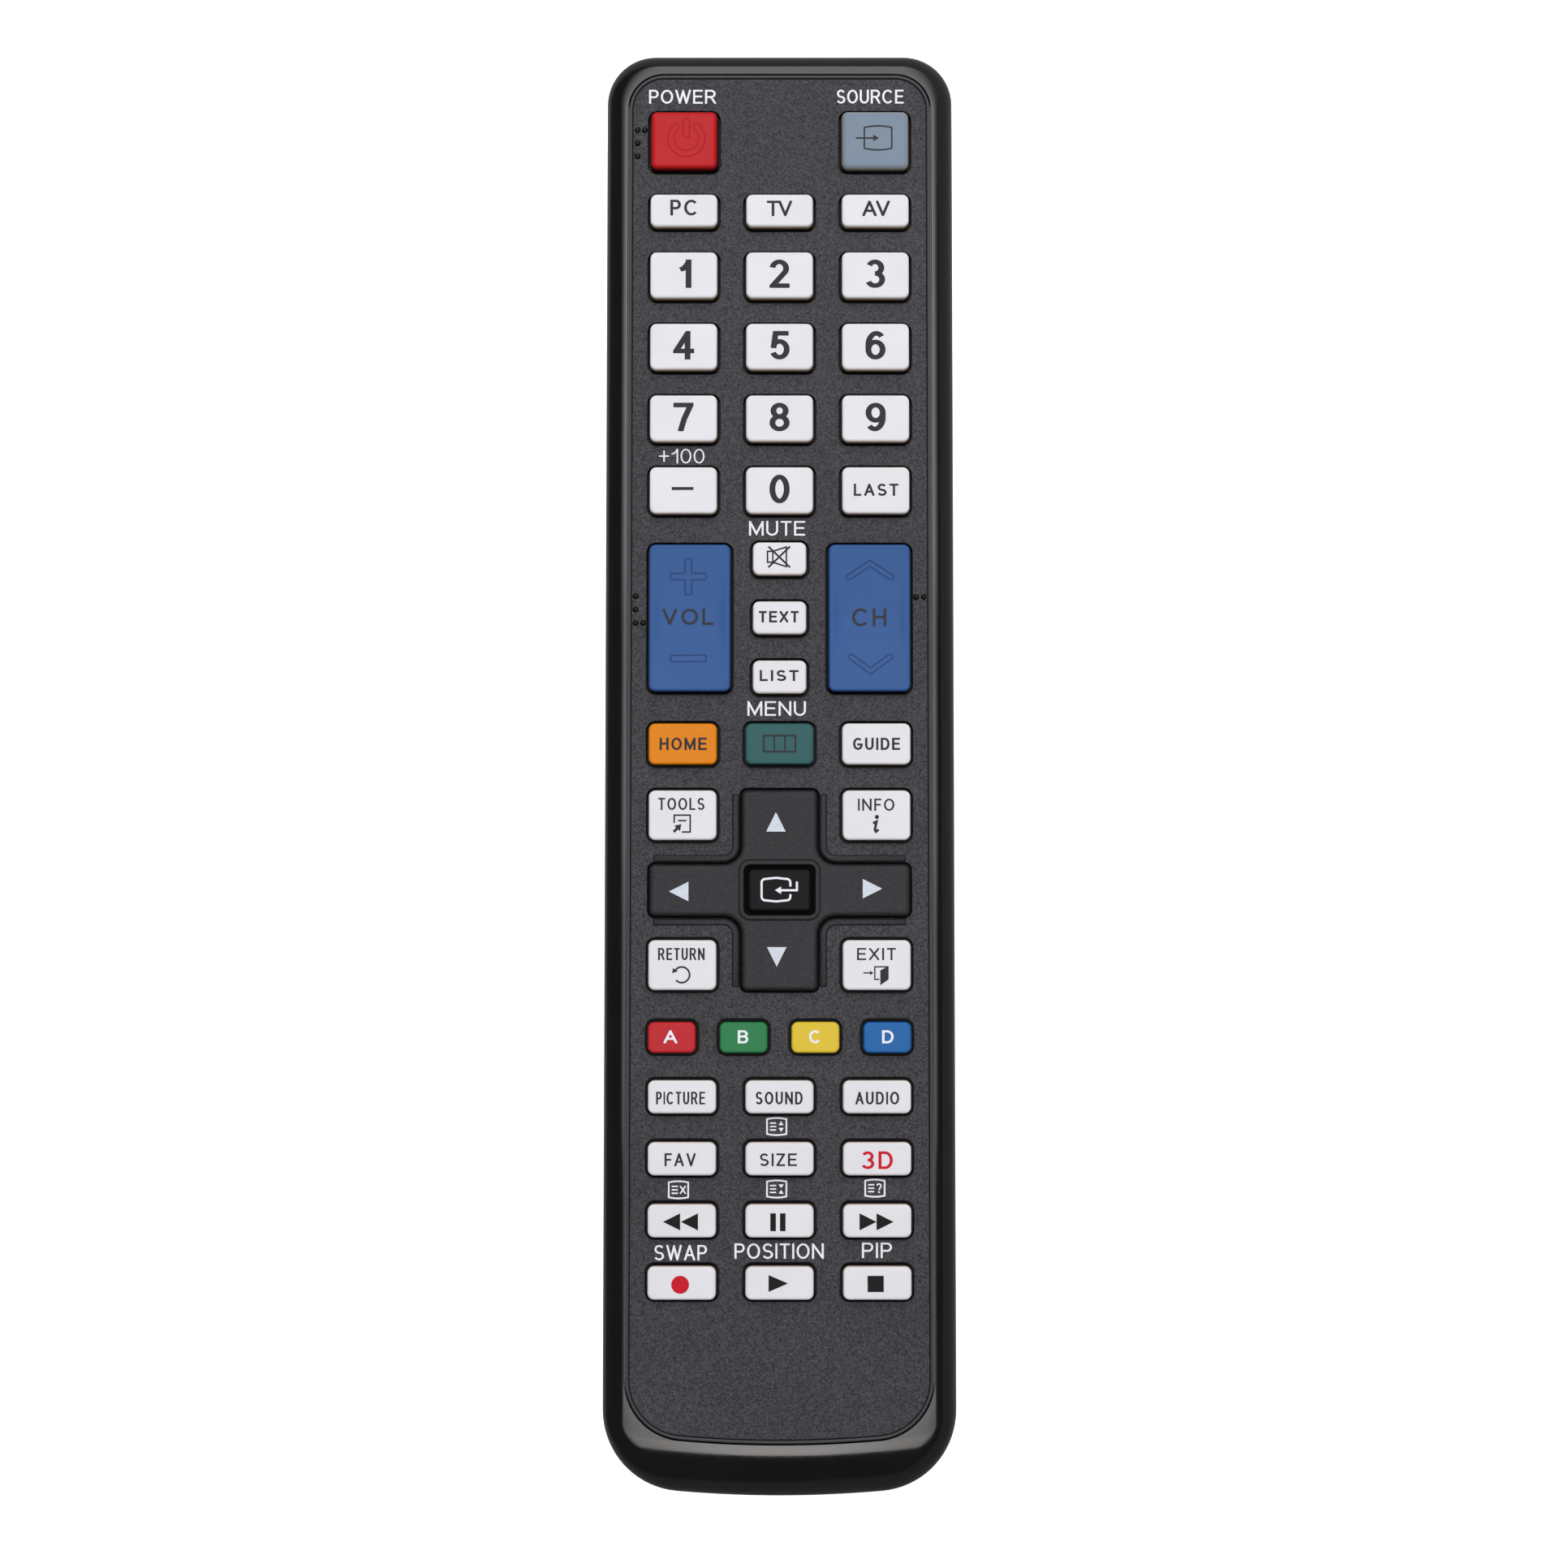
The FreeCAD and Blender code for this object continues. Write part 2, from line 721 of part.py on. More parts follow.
def circuit_board():
    """The board that carries the contacts of the keys; it rests on the ribs of the case."""
    return extrude(board_outline(board_height, 0), board_thickness)


def keypad_mat():
    """The rubber sheet on the board, open where the pad's seat rocks."""
    y = head_y - pad_row
    sheet = extrude(board_outline(board_top, mat_inset), mat_thickness)
    hole = grown(seat_size, seat_hole_clear)
    return sheet.cut(box(-hole[0] / 2, hole[0] / 2, y - hole[1] / 2, y + hole[1] / 2, board_top, mat_top))


def board_components():
    """The chip, resonator, resistors and capacitor under the board."""
    pieces = []

    def block(size, place, shift=0.0):
        x = place[0]
        y = head_y - place[1] - shift
        pieces.append(box(x - size[0] / 2, x + size[0] / 2, y - size[1] / 2, y + size[1] / 2,
                          board_height - size[2], board_height))

    block(chip_size, chip_place)
    block(crystal_size, crystal_place)
    for i in range(resistor_count):
        block(resistor_size, resistor_place, i * resistor_pitch)
    start = Vector(capacitor_place[0], head_y - capacitor_place[1] - capacitor_length / 2,
                   board_height - capacitor_radius)
    pieces.append(Part.makeCylinder(capacitor_radius, capacitor_length, start, Vector(0, 1, 0)))
    return Part.makeCompound(pieces)


def contact_slots():
    """Slots through the roof of the bay for the tabs of the two front contacts."""
    y = bay_head_y - contact_seat - contact_thickness
    half = tab_width / 2 + tab_clear
    slots = []
    for x in (-cell_x, cell_x):
        slots.append(box(x - half, x + half, y - tab_clear, bay_head_y,
                         bay_top - past, bay_top + bay_wall + past))
    return slots


def battery_contacts():
    """A plate that bridges both cells at the back, and two plates with tabs at the front."""
    half = contact_width / 2
    low = bay_top - cell_clear - contact_drop
    high = bay_top - cell_clear / 2
    back = bay_tail_y + contact_seat
    bridge = box(-cell_x - half, cell_x + half, back, back + contact_thickness, low, high)
    front = bay_head_y - contact_seat - contact_thickness
    pieces = [bridge]
    for x in (-cell_x, cell_x):
        plate = box(x - half, x + half, front, front + contact_thickness, low, high)
        tab = box(x - tab_width / 2, x + tab_width / 2, front, front + contact_thickness,
                  high, board_height)
        pieces.append(plate.fuse(tab).removeSplitter())
    return Part.makeCompound(pieces)


def leaf(x, y, toward):
    """A bowed leaf spring standing on a contact plate."""
    outer = leaf_radius
    inner = leaf_radius - leaf_thickness
    x0 = x - leaf_width / 2

    def at(out, up):
        return Vector(x0, y + toward * out, cell_z + up)

    profile = Part.Wire([
        arc(at(0, -outer), at(outer, 0), at(0, outer)),
        line(at(0, outer), at(0, inner)),
        arc(at(0, inner), at(inner, 0), at(0, -inner)),
        line(at(0, -inner), at(0, -outer)),
    ])
    return Part.Face(profile).extrude(Vector(leaf_width, 0, 0))


def battery_springs():
    """The leaf springs at the flat end of each cell."""
    back = bay_tail_y + contact_seat + contact_thickness
    front = bay_head_y - contact_seat - contact_thickness
    return Part.makeCompound([leaf(-cell_x, back, 1), leaf(cell_x, front, -1)])


def cell(x, flat_y, toward):
    """One cell, from its flat end towards its nub."""
    can_length = cell_length - cell_nub_length
    way = Vector(0, toward, 0)
    can = Part.makeCylinder(cell_diameter / 2, can_length, Vector(x, flat_y, cell_z), way)
    nub = Part.makeCylinder(cell_nub_radius, cell_nub_length,
                            Vector(x, flat_y + toward * can_length, cell_z), way)
    return can.fuse(nub)


def battery_cells():
    """Two cells side by side, the opposite way round to each other."""
    seat = contact_seat + contact_thickness + leaf_radius + cell_clear
    return Part.makeCompound([
        cell(-cell_x, bay_tail_y + seat, 1),
        cell(cell_x, bay_head_y - seat, -1),
    ])


def build():
    """Every sub-part by name."""
    hull = case_hull()
    places = key_layout()
    parts = {
        "rear_case": rear_case(hull),
        "battery_door": battery_door(hull),
        "front_panel": front_panel(places),
        "circuit_board": circuit_board(),
        "keypad_mat": keypad_mat(),
        "board_components": board_components(),
        "ir_window": ir_window(hull),
        "ir_emitter": ir_emitter(),
        "battery_contacts": battery_contacts(),
        "battery_springs": battery_springs(),
        "battery_cells": battery_cells(),
        "dpad_seat": dpad_seat(),
        "dpad_cross": dpad_cross(),
        "key_enter": enter_key(),
    }
    for name, (x, y, size) in places.items():
        make = rocker_key if size == rocker_size else plain_key
        parts[name] = make(x, y, size)
    return parts


os.makedirs("parts", exist_ok=True)
for name, shape in build().items():
    shape.exportStep("parts/" + name + ".step")
    box_size = shape.BoundBox
    print(name, len(shape.Solids), "solids", round(shape.Volume, 2), "mm3", shape.isValid(),
          round(box_size.XLength, 2), round(box_size.YLength, 2), round(box_size.ZLength, 2))
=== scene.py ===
from functools import partial
import math

import bmesh
import bpy
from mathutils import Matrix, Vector
from mathutils.geometry import delaunay_2d_cdt


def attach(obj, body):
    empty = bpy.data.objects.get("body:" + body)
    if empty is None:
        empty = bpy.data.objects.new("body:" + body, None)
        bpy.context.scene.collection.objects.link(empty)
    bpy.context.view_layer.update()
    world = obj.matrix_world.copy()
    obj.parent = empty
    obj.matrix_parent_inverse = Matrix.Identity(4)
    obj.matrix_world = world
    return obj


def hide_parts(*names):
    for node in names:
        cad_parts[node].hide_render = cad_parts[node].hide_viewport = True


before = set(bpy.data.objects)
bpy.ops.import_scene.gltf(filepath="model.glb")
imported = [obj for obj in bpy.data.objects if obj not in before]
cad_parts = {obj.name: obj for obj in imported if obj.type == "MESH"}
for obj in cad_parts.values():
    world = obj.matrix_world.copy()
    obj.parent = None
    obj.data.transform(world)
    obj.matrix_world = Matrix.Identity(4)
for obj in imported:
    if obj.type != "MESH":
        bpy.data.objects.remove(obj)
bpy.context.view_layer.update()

# Sizes are in millimetres, in the part's own frame, unless a comment says metres; MM turns them into metres.
MM = 0.001

# Case, as in the solid model
HALF_WIDTH = 24.0
HEAD_Y = 98.995
TAIL_Y = -HEAD_Y
HEAD_CORNER = 6.7
TAIL_CORNER = 11.0
TAIL_BOW = 160.0
WALL = 1.8
FACE_Z = 20.4
PANEL_UNDER = 18.6
LEDGE_UNDER = 17.4
LEDGE_WIDTH = 1.35
# How far the mouth, then the underside, are drawn in from the sides, head and tail, and their corners there
SHOULDER = (3.05, 3.25, 7.3, 5.0, 8.2)
SHOULDER_DROP = 3.2
DECK_CORNER = 1.6
BELLY = (6.0, 34.0, 6.0, 8.0, 9.0)
BELLY_RISE = 6.0
BOARD_Z = 14.4
RIBS_FROM_HEAD = (18.0, 50.0, 84.0, 120.0, 160.0)
RIB_SPAN = (18.4, 23.1)
HOOKS_FROM_HEAD = (30.0, 64.0, 108.0, 148.0)
HOOK_DEPTH = 1.7
HOOK_LEG = (18.85, 19.4)
HOOK_BARB = (19.4, 19.8)
HOOK_HALF = 3.0
RIB_HALF = 1.0
WINDOW_HALF = 10.0
WINDOW_Z = (8.1, 14.7)
# Ribs and bay walls end this far inside the outer surface
SKIN = 0.45

# Battery bay and door, as in the solid model; the chevrons of the grip are the scene's own
BAY_TAIL = TAIL_Y + 13.5
BAY_HEAD = BAY_TAIL + 49.4
BAY_HALF = 11.2
BAY_TOP = 12.7
BAY_WALL = 1.2
CELL_X = 5.65
SLOT_HALF = 1.3
SLOT_DEPTH = 0.55
SLOT_RISE = 2.2
DIVIDER_HALF = 0.25
DIVIDER_END = 10.5
DIVIDER_DROP = 3.0
DOOR_HALF = 16.5
DOOR_HEAD = BAY_HEAD + 8.0
DOOR_THICK = 1.6
DOOR_FLOOR = 1.4
CLEAR = 0.2
LIP_DEPTH = 3.0
LIP_HEIGHT = 6.0
TONGUE_WIDTH = 0.9
TONGUE_THICK = 0.7
TONGUE_FROM_TAIL = 9.0
TONGUE_SETBACK = 1.5
LATCH_HALF = 4.0
LATCH_LENGTH = 2.0
GROOVE_COUNT = 5
GROOVE_PITCH = 2.2
GROOVE_FROM_EDGE = 6.0
GROOVE_SIZE = (14.0, 1.0)
CHEVRONS_FROM_EDGE = (20.5, 23.3)
GRIP_DEPTH = 0.4

# Keys, as in the solid model, but 0.03 lower, so that the prints end inside it, and with rolled edges
KEY_TOP = 21.77
KEY_LOW = 17.0
FLANGE_TOP = 18.5
FLANGE = 0.9
FLANGE_CORNER = 0.3
KEY_GAP = 0.4
KEY_CORNER = 0.88
KEY_EDGE = 0.36
POWER_EDGE = 0.7
# How far down from its top a key's wall is shaded
WALL_SHOWN = 2.2
ROCKER_TILT_ROOM = 0.914
DISH_DEPTH = 0.4
DISH_HALF = 9.75
MAT_TOP = 16.0

# Direction pad and enter key, as in the solid model, but the enter key's top is 0.03 lower too
PAD_Y = -17.145
PAD_TOP = 21.5
PAD_HALF = (17.75, 13.65)
PAD_ARM = (5.2, 3.55)
PAD_TIP = 0.8
PAD_INNER = 2.45
PAD_GAP = 0.25
PAD_EDGE = 0.7
PAD_LOW = 17.025
PAD_FLANGE = 0.5
PAD_FLANGE_TOP = 17.575
RAIL_GAP = 0.15
RAIL_WIDTH = 0.75
RAIL_SETBACK = 0.9
RING = (11.2, 8.35)
RING_CORNER = 1.6
RING_WIDTH = 0.72
RING_TOP = 21.75
WELL_TOP = 18.908
WELL_GAP = 0.35
ENTER_TOP = 21.37
ENTER_GAP = 0.45
ENTER_FLANGE = 0.6
ENTER_FLANGE_CORNER = 0.2
ENTER_EDGE = 0.6

# Prints: how deep they reach into their face and how far they stand over it
PRINT_SUNK = 0.06
ROCKER_PRINT_SUNK = 0.08
PRINT_PROUD = 0.02


# Plans: closed lists of points seen from above

def bend(cx, cy, rx, ry, start, end, steps=10):
    """Points along an elliptical arc, in degrees, both ends included."""
    points = []
    for i in range(steps + 1):
        a = math.radians(start + (end - start) * i / steps)
        points.append((cx + rx * math.cos(a), cy + ry * math.sin(a)))
    return points


def rounded(corners, radii, steps=6):
    """A closed plan through corners, each rounded by its own radius."""
    count = len(corners)
    plan = []
    for i in range(count):
        p = Vector(corners[i])
        back = (Vector(corners[i - 1]) - p).normalized()
        ahead = (Vector(corners[(i + 1) % count]) - p).normalized()
        half = back.angle(ahead) / 2
        start = p + back * (radii[i] / math.tan(half))
        centre = p + (back + ahead).normalized() * (radii[i] / math.sin(half))
        spoke = start - centre
        turn = math.pi - 2 * half
        if back.cross(ahead) > 0:
            turn = -turn
        for k in range(steps + 1):
            a = turn * k / steps
            plan.append((centre.x + spoke.x * math.cos(a) - spoke.y * math.sin(a),
                         centre.y + spoke.x * math.sin(a) + spoke.y * math.cos(a)))
    return plan


def rect_plan(x, y, size, radius, by=0.0, steps=6):
    """A rounded rectangle about x, y, grown evenly."""
    a = size[0] / 2 + by
    b = size[1] / 2 + by
    corners = [(x - a, y - b), (x + a, y - b), (x + a, y + b), (x - a, y + b)]
    return rounded(corners, [max(radius + by, 0.02)] * 4, steps)


def case_plan(side, head, tail, head_radius, tail_radius):
    """The plan of the case, drawn in from each side by its own amount."""
    half = HALF_WIDTH - side
    top = HEAD_Y - head
    low = TAIL_Y + tail
    bow = TAIL_BOW - tail
    corner_x = half - tail_radius
    bow_y = low + bow
    corner_y = bow_y - math.sqrt((bow - tail_radius) ** 2 - corner_x ** 2)
    turn = math.degrees(math.atan2(corner_y - bow_y, corner_x))
    right = bend(half - head_radius, top - head_radius, head_radius, head_radius, 90, 0, 14)
    right += bend(corner_x, corner_y, tail_radius, tail_radius, 0, turn, 18)
    middle = bend(0, bow_y, bow, bow, turn, -180 - turn, 24)[1:-1]
    left = [(-x, y) for x, y in reversed(right)]
    return right + middle + left


def mouth_plan(inset):
    """The mouth of the case, drawn in evenly."""
    side, head, tail, head_radius, tail_radius = SHOULDER
    return case_plan(side + inset, head + inset, tail + inset, head_radius - inset, tail_radius - inset)


def mouth_rings(*pairs):
    return [(mouth_plan(inset), z) for inset, z in pairs]


def pad_plan(by, tip=None):
    """The cross of the direction pad, grown evenly."""
    far_x, far_y = PAD_HALF[0] + by, PAD_HALF[1] + by
    near_x, near_y = PAD_ARM[0] + by, PAD_ARM[1] + by
    corners = [
        (far_x, -near_y), (far_x, near_y), (near_x, near_y), (near_x, far_y),
        (-near_x, far_y), (-near_x, near_y), (-far_x, near_y), (-far_x, -near_y),
        (-near_x, -near_y), (-near_x, -far_y), (near_x, -far_y), (near_x, -near_y),
    ]
    outer = PAD_TIP + by if tip is None else tip
    radii = [max(outer, 0.05), max(outer, 0.05), PAD_INNER - by] * 4
    return rounded([(x, y + PAD_Y) for x, y in corners], radii, 8)


def area(plan):
    return sum(a[0] * b[1] - b[0] * a[1] for a, b in zip(plan, plan[1:] + plan[:1])) / 2


class Form:
    """A mesh being put together from rings of points."""

    def __init__(self):
        self.points = []
        self.faces = []

    def ring(self, plan, z):
        start = len(self.points)
        for x, y in plan:
            self.points.append((x, y, z(x, y) if callable(z) else z))
        return list(range(start, len(self.points)))

    def skin(self, a, b):
        for i in range(len(a)):
            j = (i + 1) % len(a)
            self.faces.append((a[i], a[j], b[j], b[i]))

    def loft(self, rings):
        """Skins rings of (plan, height) one to the next and gives them back."""
        made = [self.ring(plan, z) for plan, z in rings]
        for a, b in zip(made, made[1:]):
            self.skin(a, b)
        return made

    def lid(self, ring):
        self.faces.append(tuple(ring))

    def closed(self, rings):
        """Skins rings one to the next and closes both ends."""
        made = self.loft(rings)
        self.lid(made[0])
        self.lid(made[-1])
        return self

    def looped(self, rings):
        """Skins rings one to the next, and the last to the first."""
        made = self.loft(rings)
        self.skin(made[-1], made[0])
        return self

    def sheet(self, outer, holes=(), inner=()):
        """Fills the space between a ring and the rings inside it, through any inner points."""
        loops = [list(outer)] + [list(hole) for hole in holes]
        ids = [i for loop in loops for i in loop] + list(inner)
        faces = []
        start = 0
        for loop in loops:
            face = list(range(start, start + len(loop)))
            # The triangulation takes faces that run anticlockwise
            anticlockwise = area([self.points[i][:2] for i in loop]) > 0
            faces.append(face if anticlockwise else face[::-1])
            start += len(loop)
        flat = [Vector(self.points[i][:2]) for i in ids]
        found = delaunay_2d_cdt(flat, [], faces, 1, 1e-7)
        # Triangles that lie in the outer face alone, and in no hole
        for triangle, inside in zip(found[2], found[5]):
            if list(inside) == [0]:
                self.faces.append(tuple(ids[found[3][i][0]] for i in triangle))

    def box(self, x0, x1, y0, y1, z0, z1):
        plan = [(x0, y0), (x1, y0), (x1, y1), (x0, y1)]
        return self.closed([(plan, z0), (plan, z1)])

    def mesh(self, name, sharp=32.0):
        mesh = bpy.data.meshes.new(name)
        mesh.from_pydata([(x * MM, y * MM, z * MM) for x, y, z in self.points], [], self.faces)
        tidy_mesh(mesh, sharp)
        return mesh


def tidy_mesh(mesh, sharp):
    """Faces outward, smooth over soft turns and crisp over sharp ones."""
    work = bmesh.new()
    work.from_mesh(mesh)
    bmesh.ops.recalc_face_normals(work, faces=work.faces)
    work.to_mesh(mesh)
    work.free()
    mesh.shade_smooth()
    mesh.set_sharp_from_angle(angle=math.radians(sharp))


def piece(name, mesh, paint, body, slot=None, nodes=()):
    """Puts a mesh in the scene as a piece that rides on a body and stands for nodes."""
    obj = bpy.data.objects.new(name, mesh)
    bpy.context.scene.collection.objects.link(obj)
    mesh.materials.clear()
    mesh.materials.append(paint)
    if nodes:
        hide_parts(*nodes)
    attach(obj, body)


# Materials

def connect(value, socket):
    """Links an output to a socket, or sets a number or a colour on it."""
    if isinstance(value, bpy.types.NodeSocket):
        socket.id_data.links.new(value, socket)
    else:
        socket.default_value = (*value, 1.0) if isinstance(value, tuple) else value


def add(kind, **inputs):
    """Adds a node to its first input's tree and connects it; a _ in a name stands for a space."""
    tree = next(iter(inputs.values())).id_data
    node = tree.nodes.new("ShaderNode" + kind)
    for name, value in inputs.items():
        connect(value, node.inputs[name.replace("_", " ")])
    return node


def noise(where, scale, detail=2.0, roughness=0.5):
    return add("TexNoise", Vector=where, Scale=scale, Detail=detail, Roughness=roughness).outputs["Fac"]


def height_of(where):
    return add("SeparateXYZ", Vector=where).outputs["Z"]


def spread(factor, low, high, start=0.0, end=1.0):
    """Maps a factor between start and end onto low to high."""
    node = add("MapRange", Value=factor, From_Min=start, From_Max=end, To_Min=low, To_Max=high)
    return node.outputs["Result"]


def ramp(factor, stops):
    """A colour ramp through (position, colour) stops."""
    node = add("ValToRGB", Fac=factor)
    elements = node.color_ramp.elements
    while len(elements) < len(stops):
        elements.new(0.5)
    for element, (position, colour) in zip(elements, stops):
        element.position = position
        element.color = (*colour, 1.0)
    return node.outputs["Color"]


def mixed(factor, first, second, mode="MIX"):
    node = second.id_data.nodes.new("ShaderNodeMix")
    node.data_type = "RGBA"
    node.blend_type = mode
    sockets = [node.inputs[0]] + [s for s in node.inputs if s.type == "RGBA"]
    for value, socket in zip((factor, first, second), sockets):
        connect(value, socket)
    return [s for s in node.outputs if s.type == "RGBA"][0]


def shade(colour, by):
    """A linear colour from 0 to 255 screen values, made darker or lighter."""
    out = []
    for value in colour:
        c = value / 255
        c = c / 12.92 if c <= 0.04045 else ((c + 0.055) / 1.055) ** 2.4
        out.append(min(c * by, 1.0))
    return tuple(out)


def mottled(factor, colour, low, high, start=0.3, end=0.7):
    """A colour that wavers between two shades of itself."""
    return ramp(factor, [(start, shade(colour, low)), (end, shade(colour, high))])


def blank(name):
    """A new material and its coordinates in the part's own frame."""
    material = bpy.data.materials.new(name)
    material.use_nodes = True
    return material, material.node_tree.nodes.new("ShaderNodeTexCoord").outputs["Object"]


def set_shader(material, **inputs):
    """Connects inputs of the material's shader; a _ in a name stands for a space."""
    shader = material.node_tree.nodes["Principled BSDF"]
    for name, value in inputs.items():
        connect(value, shader.inputs[name.replace("_", " ")])


def finished(material, tint, rough, specular, height, strength, depth):
    """Gives a material its colour, roughness, shine and fine relief."""
    relief = add("Bump", Height=height, Strength=strength, Distance=depth * MM)
    set_shader(material, Base_Color=tint, Roughness=rough, Normal=relief.outputs["Normal"],
               Specular_IOR_Level=specular)
    return material


def grained(name, colour, contrast, grain, depth, rough, specular=0.5, painted_shade_below=None, fade=0.12):
    """Moulded plastic with a fine grain: its colour, shine and surface all vary with it. Below a given
    height its colour is darkened as painted shade.
    """
    material, where = blank(name)
    fine = noise(where, grain, 3.0, 0.6)
    base = mottled(fine, colour, 1 - 0.75 * contrast, 1 + contrast, 0.33, 0.67)
    cloud = ramp(noise(where, 60, 3.0), [(0.3, (0.93, 0.93, 0.93)), (0.7, (1.05, 1.05, 1.05))])
    tint = mixed(1.0, base, cloud, "MULTIPLY")
    # Painted shade: below this height the colour fades to a much darker copy of itself, where holes,
    # grooves, sides and rounded edges lie in shade.
    if painted_shade_below is not None:
        up = spread(height_of(where), 0.0, 1.0, (painted_shade_below - fade) * MM, painted_shade_below * MM)
        tint = mixed(up, shade(colour, 0.2), tint)
    shine = spread(fine, rough - 0.08, rough + 0.08)
    return finished(material, tint, shine, specular, fine, 0.6, depth)


def gloss(name, colour, rough):
    """Polished moulding: faint waves, dust-fine roughness changes."""
    material, where = blank(name)
    waves = noise(where, 90)
    haze = noise(where, 700, 4.0, 0.65)
    tone = mottled(waves, colour, 0.85, 1.15)
    return finished(material, tone, spread(haze, rough * 0.6, rough * 1.6), 0.5, waves, 0.12, 0.02)


def key_coat(name, colour, wall, sink=0.0):
    """A moulded silicone key: faint mottling on top, and walls painted with shade that goes dark toward the
    panel.
    """
    material, where = blank(name)
    fine = noise(where, 1600, 3.0, 0.6)
    top = mottled(noise(where, 160, 3.0), colour, 0.97, 1.02)
    crown = KEY_TOP - sink
    down = spread(height_of(where), 0.0, 1.0, (crown - WALL_SHOWN) * MM, crown * MM)
    # Painted shade: the walls darken from their colour to near black toward the panel, standing for the
    # shade in the gap round the key.
    side = ramp(down, [(0.08, (0.018, 0.018, 0.019)), (0.25, shade(wall, 0.08)),
                       (0.5, shade(wall, 0.35)), (0.74, shade(wall, 1.0))])
    tint = mixed(spread(down, 0.0, 1.0, 0.78, 0.98), side, top)
    return finished(material, tint, spread(fine, 0.36, 0.48), 0.12, fine, 0.35, 0.012)


def ink(name, colour, rough=0.5, wear=0.06):
    """Printed legend: slightly uneven ink; also used for lines of painted shade round moulded reliefs."""
    material, where = blank(name)
    speck = noise(where, 2600, 3.0, 0.7)
    tone = mottled(speck, colour, 1 - wear, 1 + wear)
    return finished(material, tone, spread(speck, rough - 0.05, rough + 0.1), 0.1, speck, 0.3, 0.006)


def metal(name, colour, rough=0.28):
    material, where = blank(name)
    set_shader(material, Metallic=1.0)
    fine = noise(where, 900, 4.0, 0.6)
    tone = mottled(fine, colour, 0.85, 1.05)
    return finished(material, tone, spread(fine, rough - 0.1, rough + 0.12), 0.5, fine, 0.2, 0.01)


CASE_GLOSS = gloss("case_gloss", (13, 13, 14), 0.09)
# The panel, rails, pad and enter key darken below a height near their tops: painted shade on their hole
# walls, grooves, sides and rounded edges.
PANEL_MATTE = grained("panel_matte", (56, 55, 59), 0.85, 4000, 0.2, 0.6, 0.2, FACE_Z - 0.02)
RAIL_MATTE = grained("rail_matte", (44, 43, 47), 0.5, 3600, 0.05, 0.6, 0.2, FACE_Z + 0.15, 0.06)
PAD_SATIN = grained("pad_satin", (42, 41, 45), 0.35, 3000, 0.05, 0.55, 0.2, PAD_TOP - 0.02, 0.45)
ENTER_SATIN = grained("enter_satin", (22, 22, 24), 0.15, 1800, 0.01, 0.42, 0.06, ENTER_TOP - 0.01, 0.45)
DOT_SATIN = grained("dot_satin", (12, 12, 13), 0.15, 1800, 0.01, 0.26, 0.15)
LIP_SATIN = grained("lip_satin", (54, 54, 58), 0.12, 3000, 0.02, 0.38, 0.22)

# Keys: the colour of the top and of the walls, and how far the top lies below that of a plain key. The wall
# colour is painted shade, a darker copy of the top that key_coat darkens further toward the panel
COAT_COLOURS = {
    "key_white": ((213, 212, 217), (212, 190, 168)),
    "key_power_red": ((176, 23, 29), (120, 12, 16)),
    "key_slate_blue": ((116, 131, 147), (138, 132, 122)),
    "rocker_blue": ((46, 83, 139), (26, 46, 84), 0.45),
    "key_orange": ((210, 122, 6), (160, 90, 12)),
    "key_teal": ((44, 87, 89), (28, 58, 58)),
    "key_signal_red": ((178, 34, 41), (116, 16, 22)),
    "key_signal_green": ((41, 118, 71), (20, 74, 42)),
    "key_signal_yellow": ((209, 181, 52), (160, 130, 28)),
    "key_signal_blue": ((31, 94, 158), (16, 56, 110)),
}
COATS = {name: key_coat(name, *look) for name, look in COAT_COLOURS.items()}

# Inks: the colour and, where they aren't the usual ones, the roughness and wear
INK_COLOURS = {
    "white": ((222, 224, 231),),
    "silver": ((196, 203, 213), 0.35, 0.12),
    "black": ((46, 47, 50),),
    "deep": ((24, 23, 23), 0.5, 0.25),
    "grey": ((50, 50, 52),),
    "brown": ((50, 50, 58),),
    "red": ((190, 20, 38), 0.5, 0.12),
    # The next two are not ink but painted shade: darker lines that stand for the shaded edges of moulded
    # relief symbols on the power key and the rockers.
    "power_relief_shade": ((152, 16, 22),),
    "rocker_relief_shade": ((36, 58, 104),),
}
INKS = {name: ink("ink_" + name, *look) for name, look in INK_COLOURS.items()}


# Solids cut from and joined to one another

def combined(first, second, how):
    """The union, difference or overlap of two closed meshes."""
    a = bpy.data.objects.new("work_a", first)
    b = bpy.data.objects.new("work_b", second)
    for obj in (a, b):
        bpy.context.scene.collection.objects.link(obj)
    step = a.modifiers.new("cut", "BOOLEAN")
    step.operation = how
    step.solver = "EXACT"
    step.object = b
    bpy.context.view_layer.update()
    made = bpy.data.meshes.new_from_object(a.evaluated_get(bpy.context.evaluated_depsgraph_get()))
    for obj in (a, b):
        bpy.data.objects.remove(obj)
    return made


def box_mesh(*sizes):
    return Form().box(*sizes).mesh("box")


def merged(meshes):
    """The union of several closed meshes."""
    made = meshes[0]
    for mesh in meshes[1:]:
        made = combined(made, mesh, "UNION")
    return made


def cut_by(mesh, cuts):
    """What is left of a closed mesh after several cuts."""
    for cut in cuts:
        mesh = combined(mesh, cut, "DIFFERENCE")
    tidy_mesh(mesh, 32)
    return mesh


def both_sides(inner, outer):
    """The spans across of a thing that stands on the left and on the right."""
    return (-outer, -inner), (inner, outer)


# Case: the tub and its sliding door

def roll(level, height, narrow, wide, steps):
    """Rings of a rolled edge, from the level face out to the upright side."""
    rings = []
    for step in range(steps + 1):
        a = math.pi / 2 * step / steps
        plan = [n + (w - n) * math.sin(a) for n, w in zip(narrow, wide)]
        rings.append((case_plan(*plan), level + height * (1 - math.cos(a))))
    return rings


def shifted(plan, by):
    """Plan values drawn in evenly."""
    return (plan[0] + by, plan[1] + by, plan[2] + by, max(plan[3] - by, 0.3), max(plan[4] - by, 0.3))


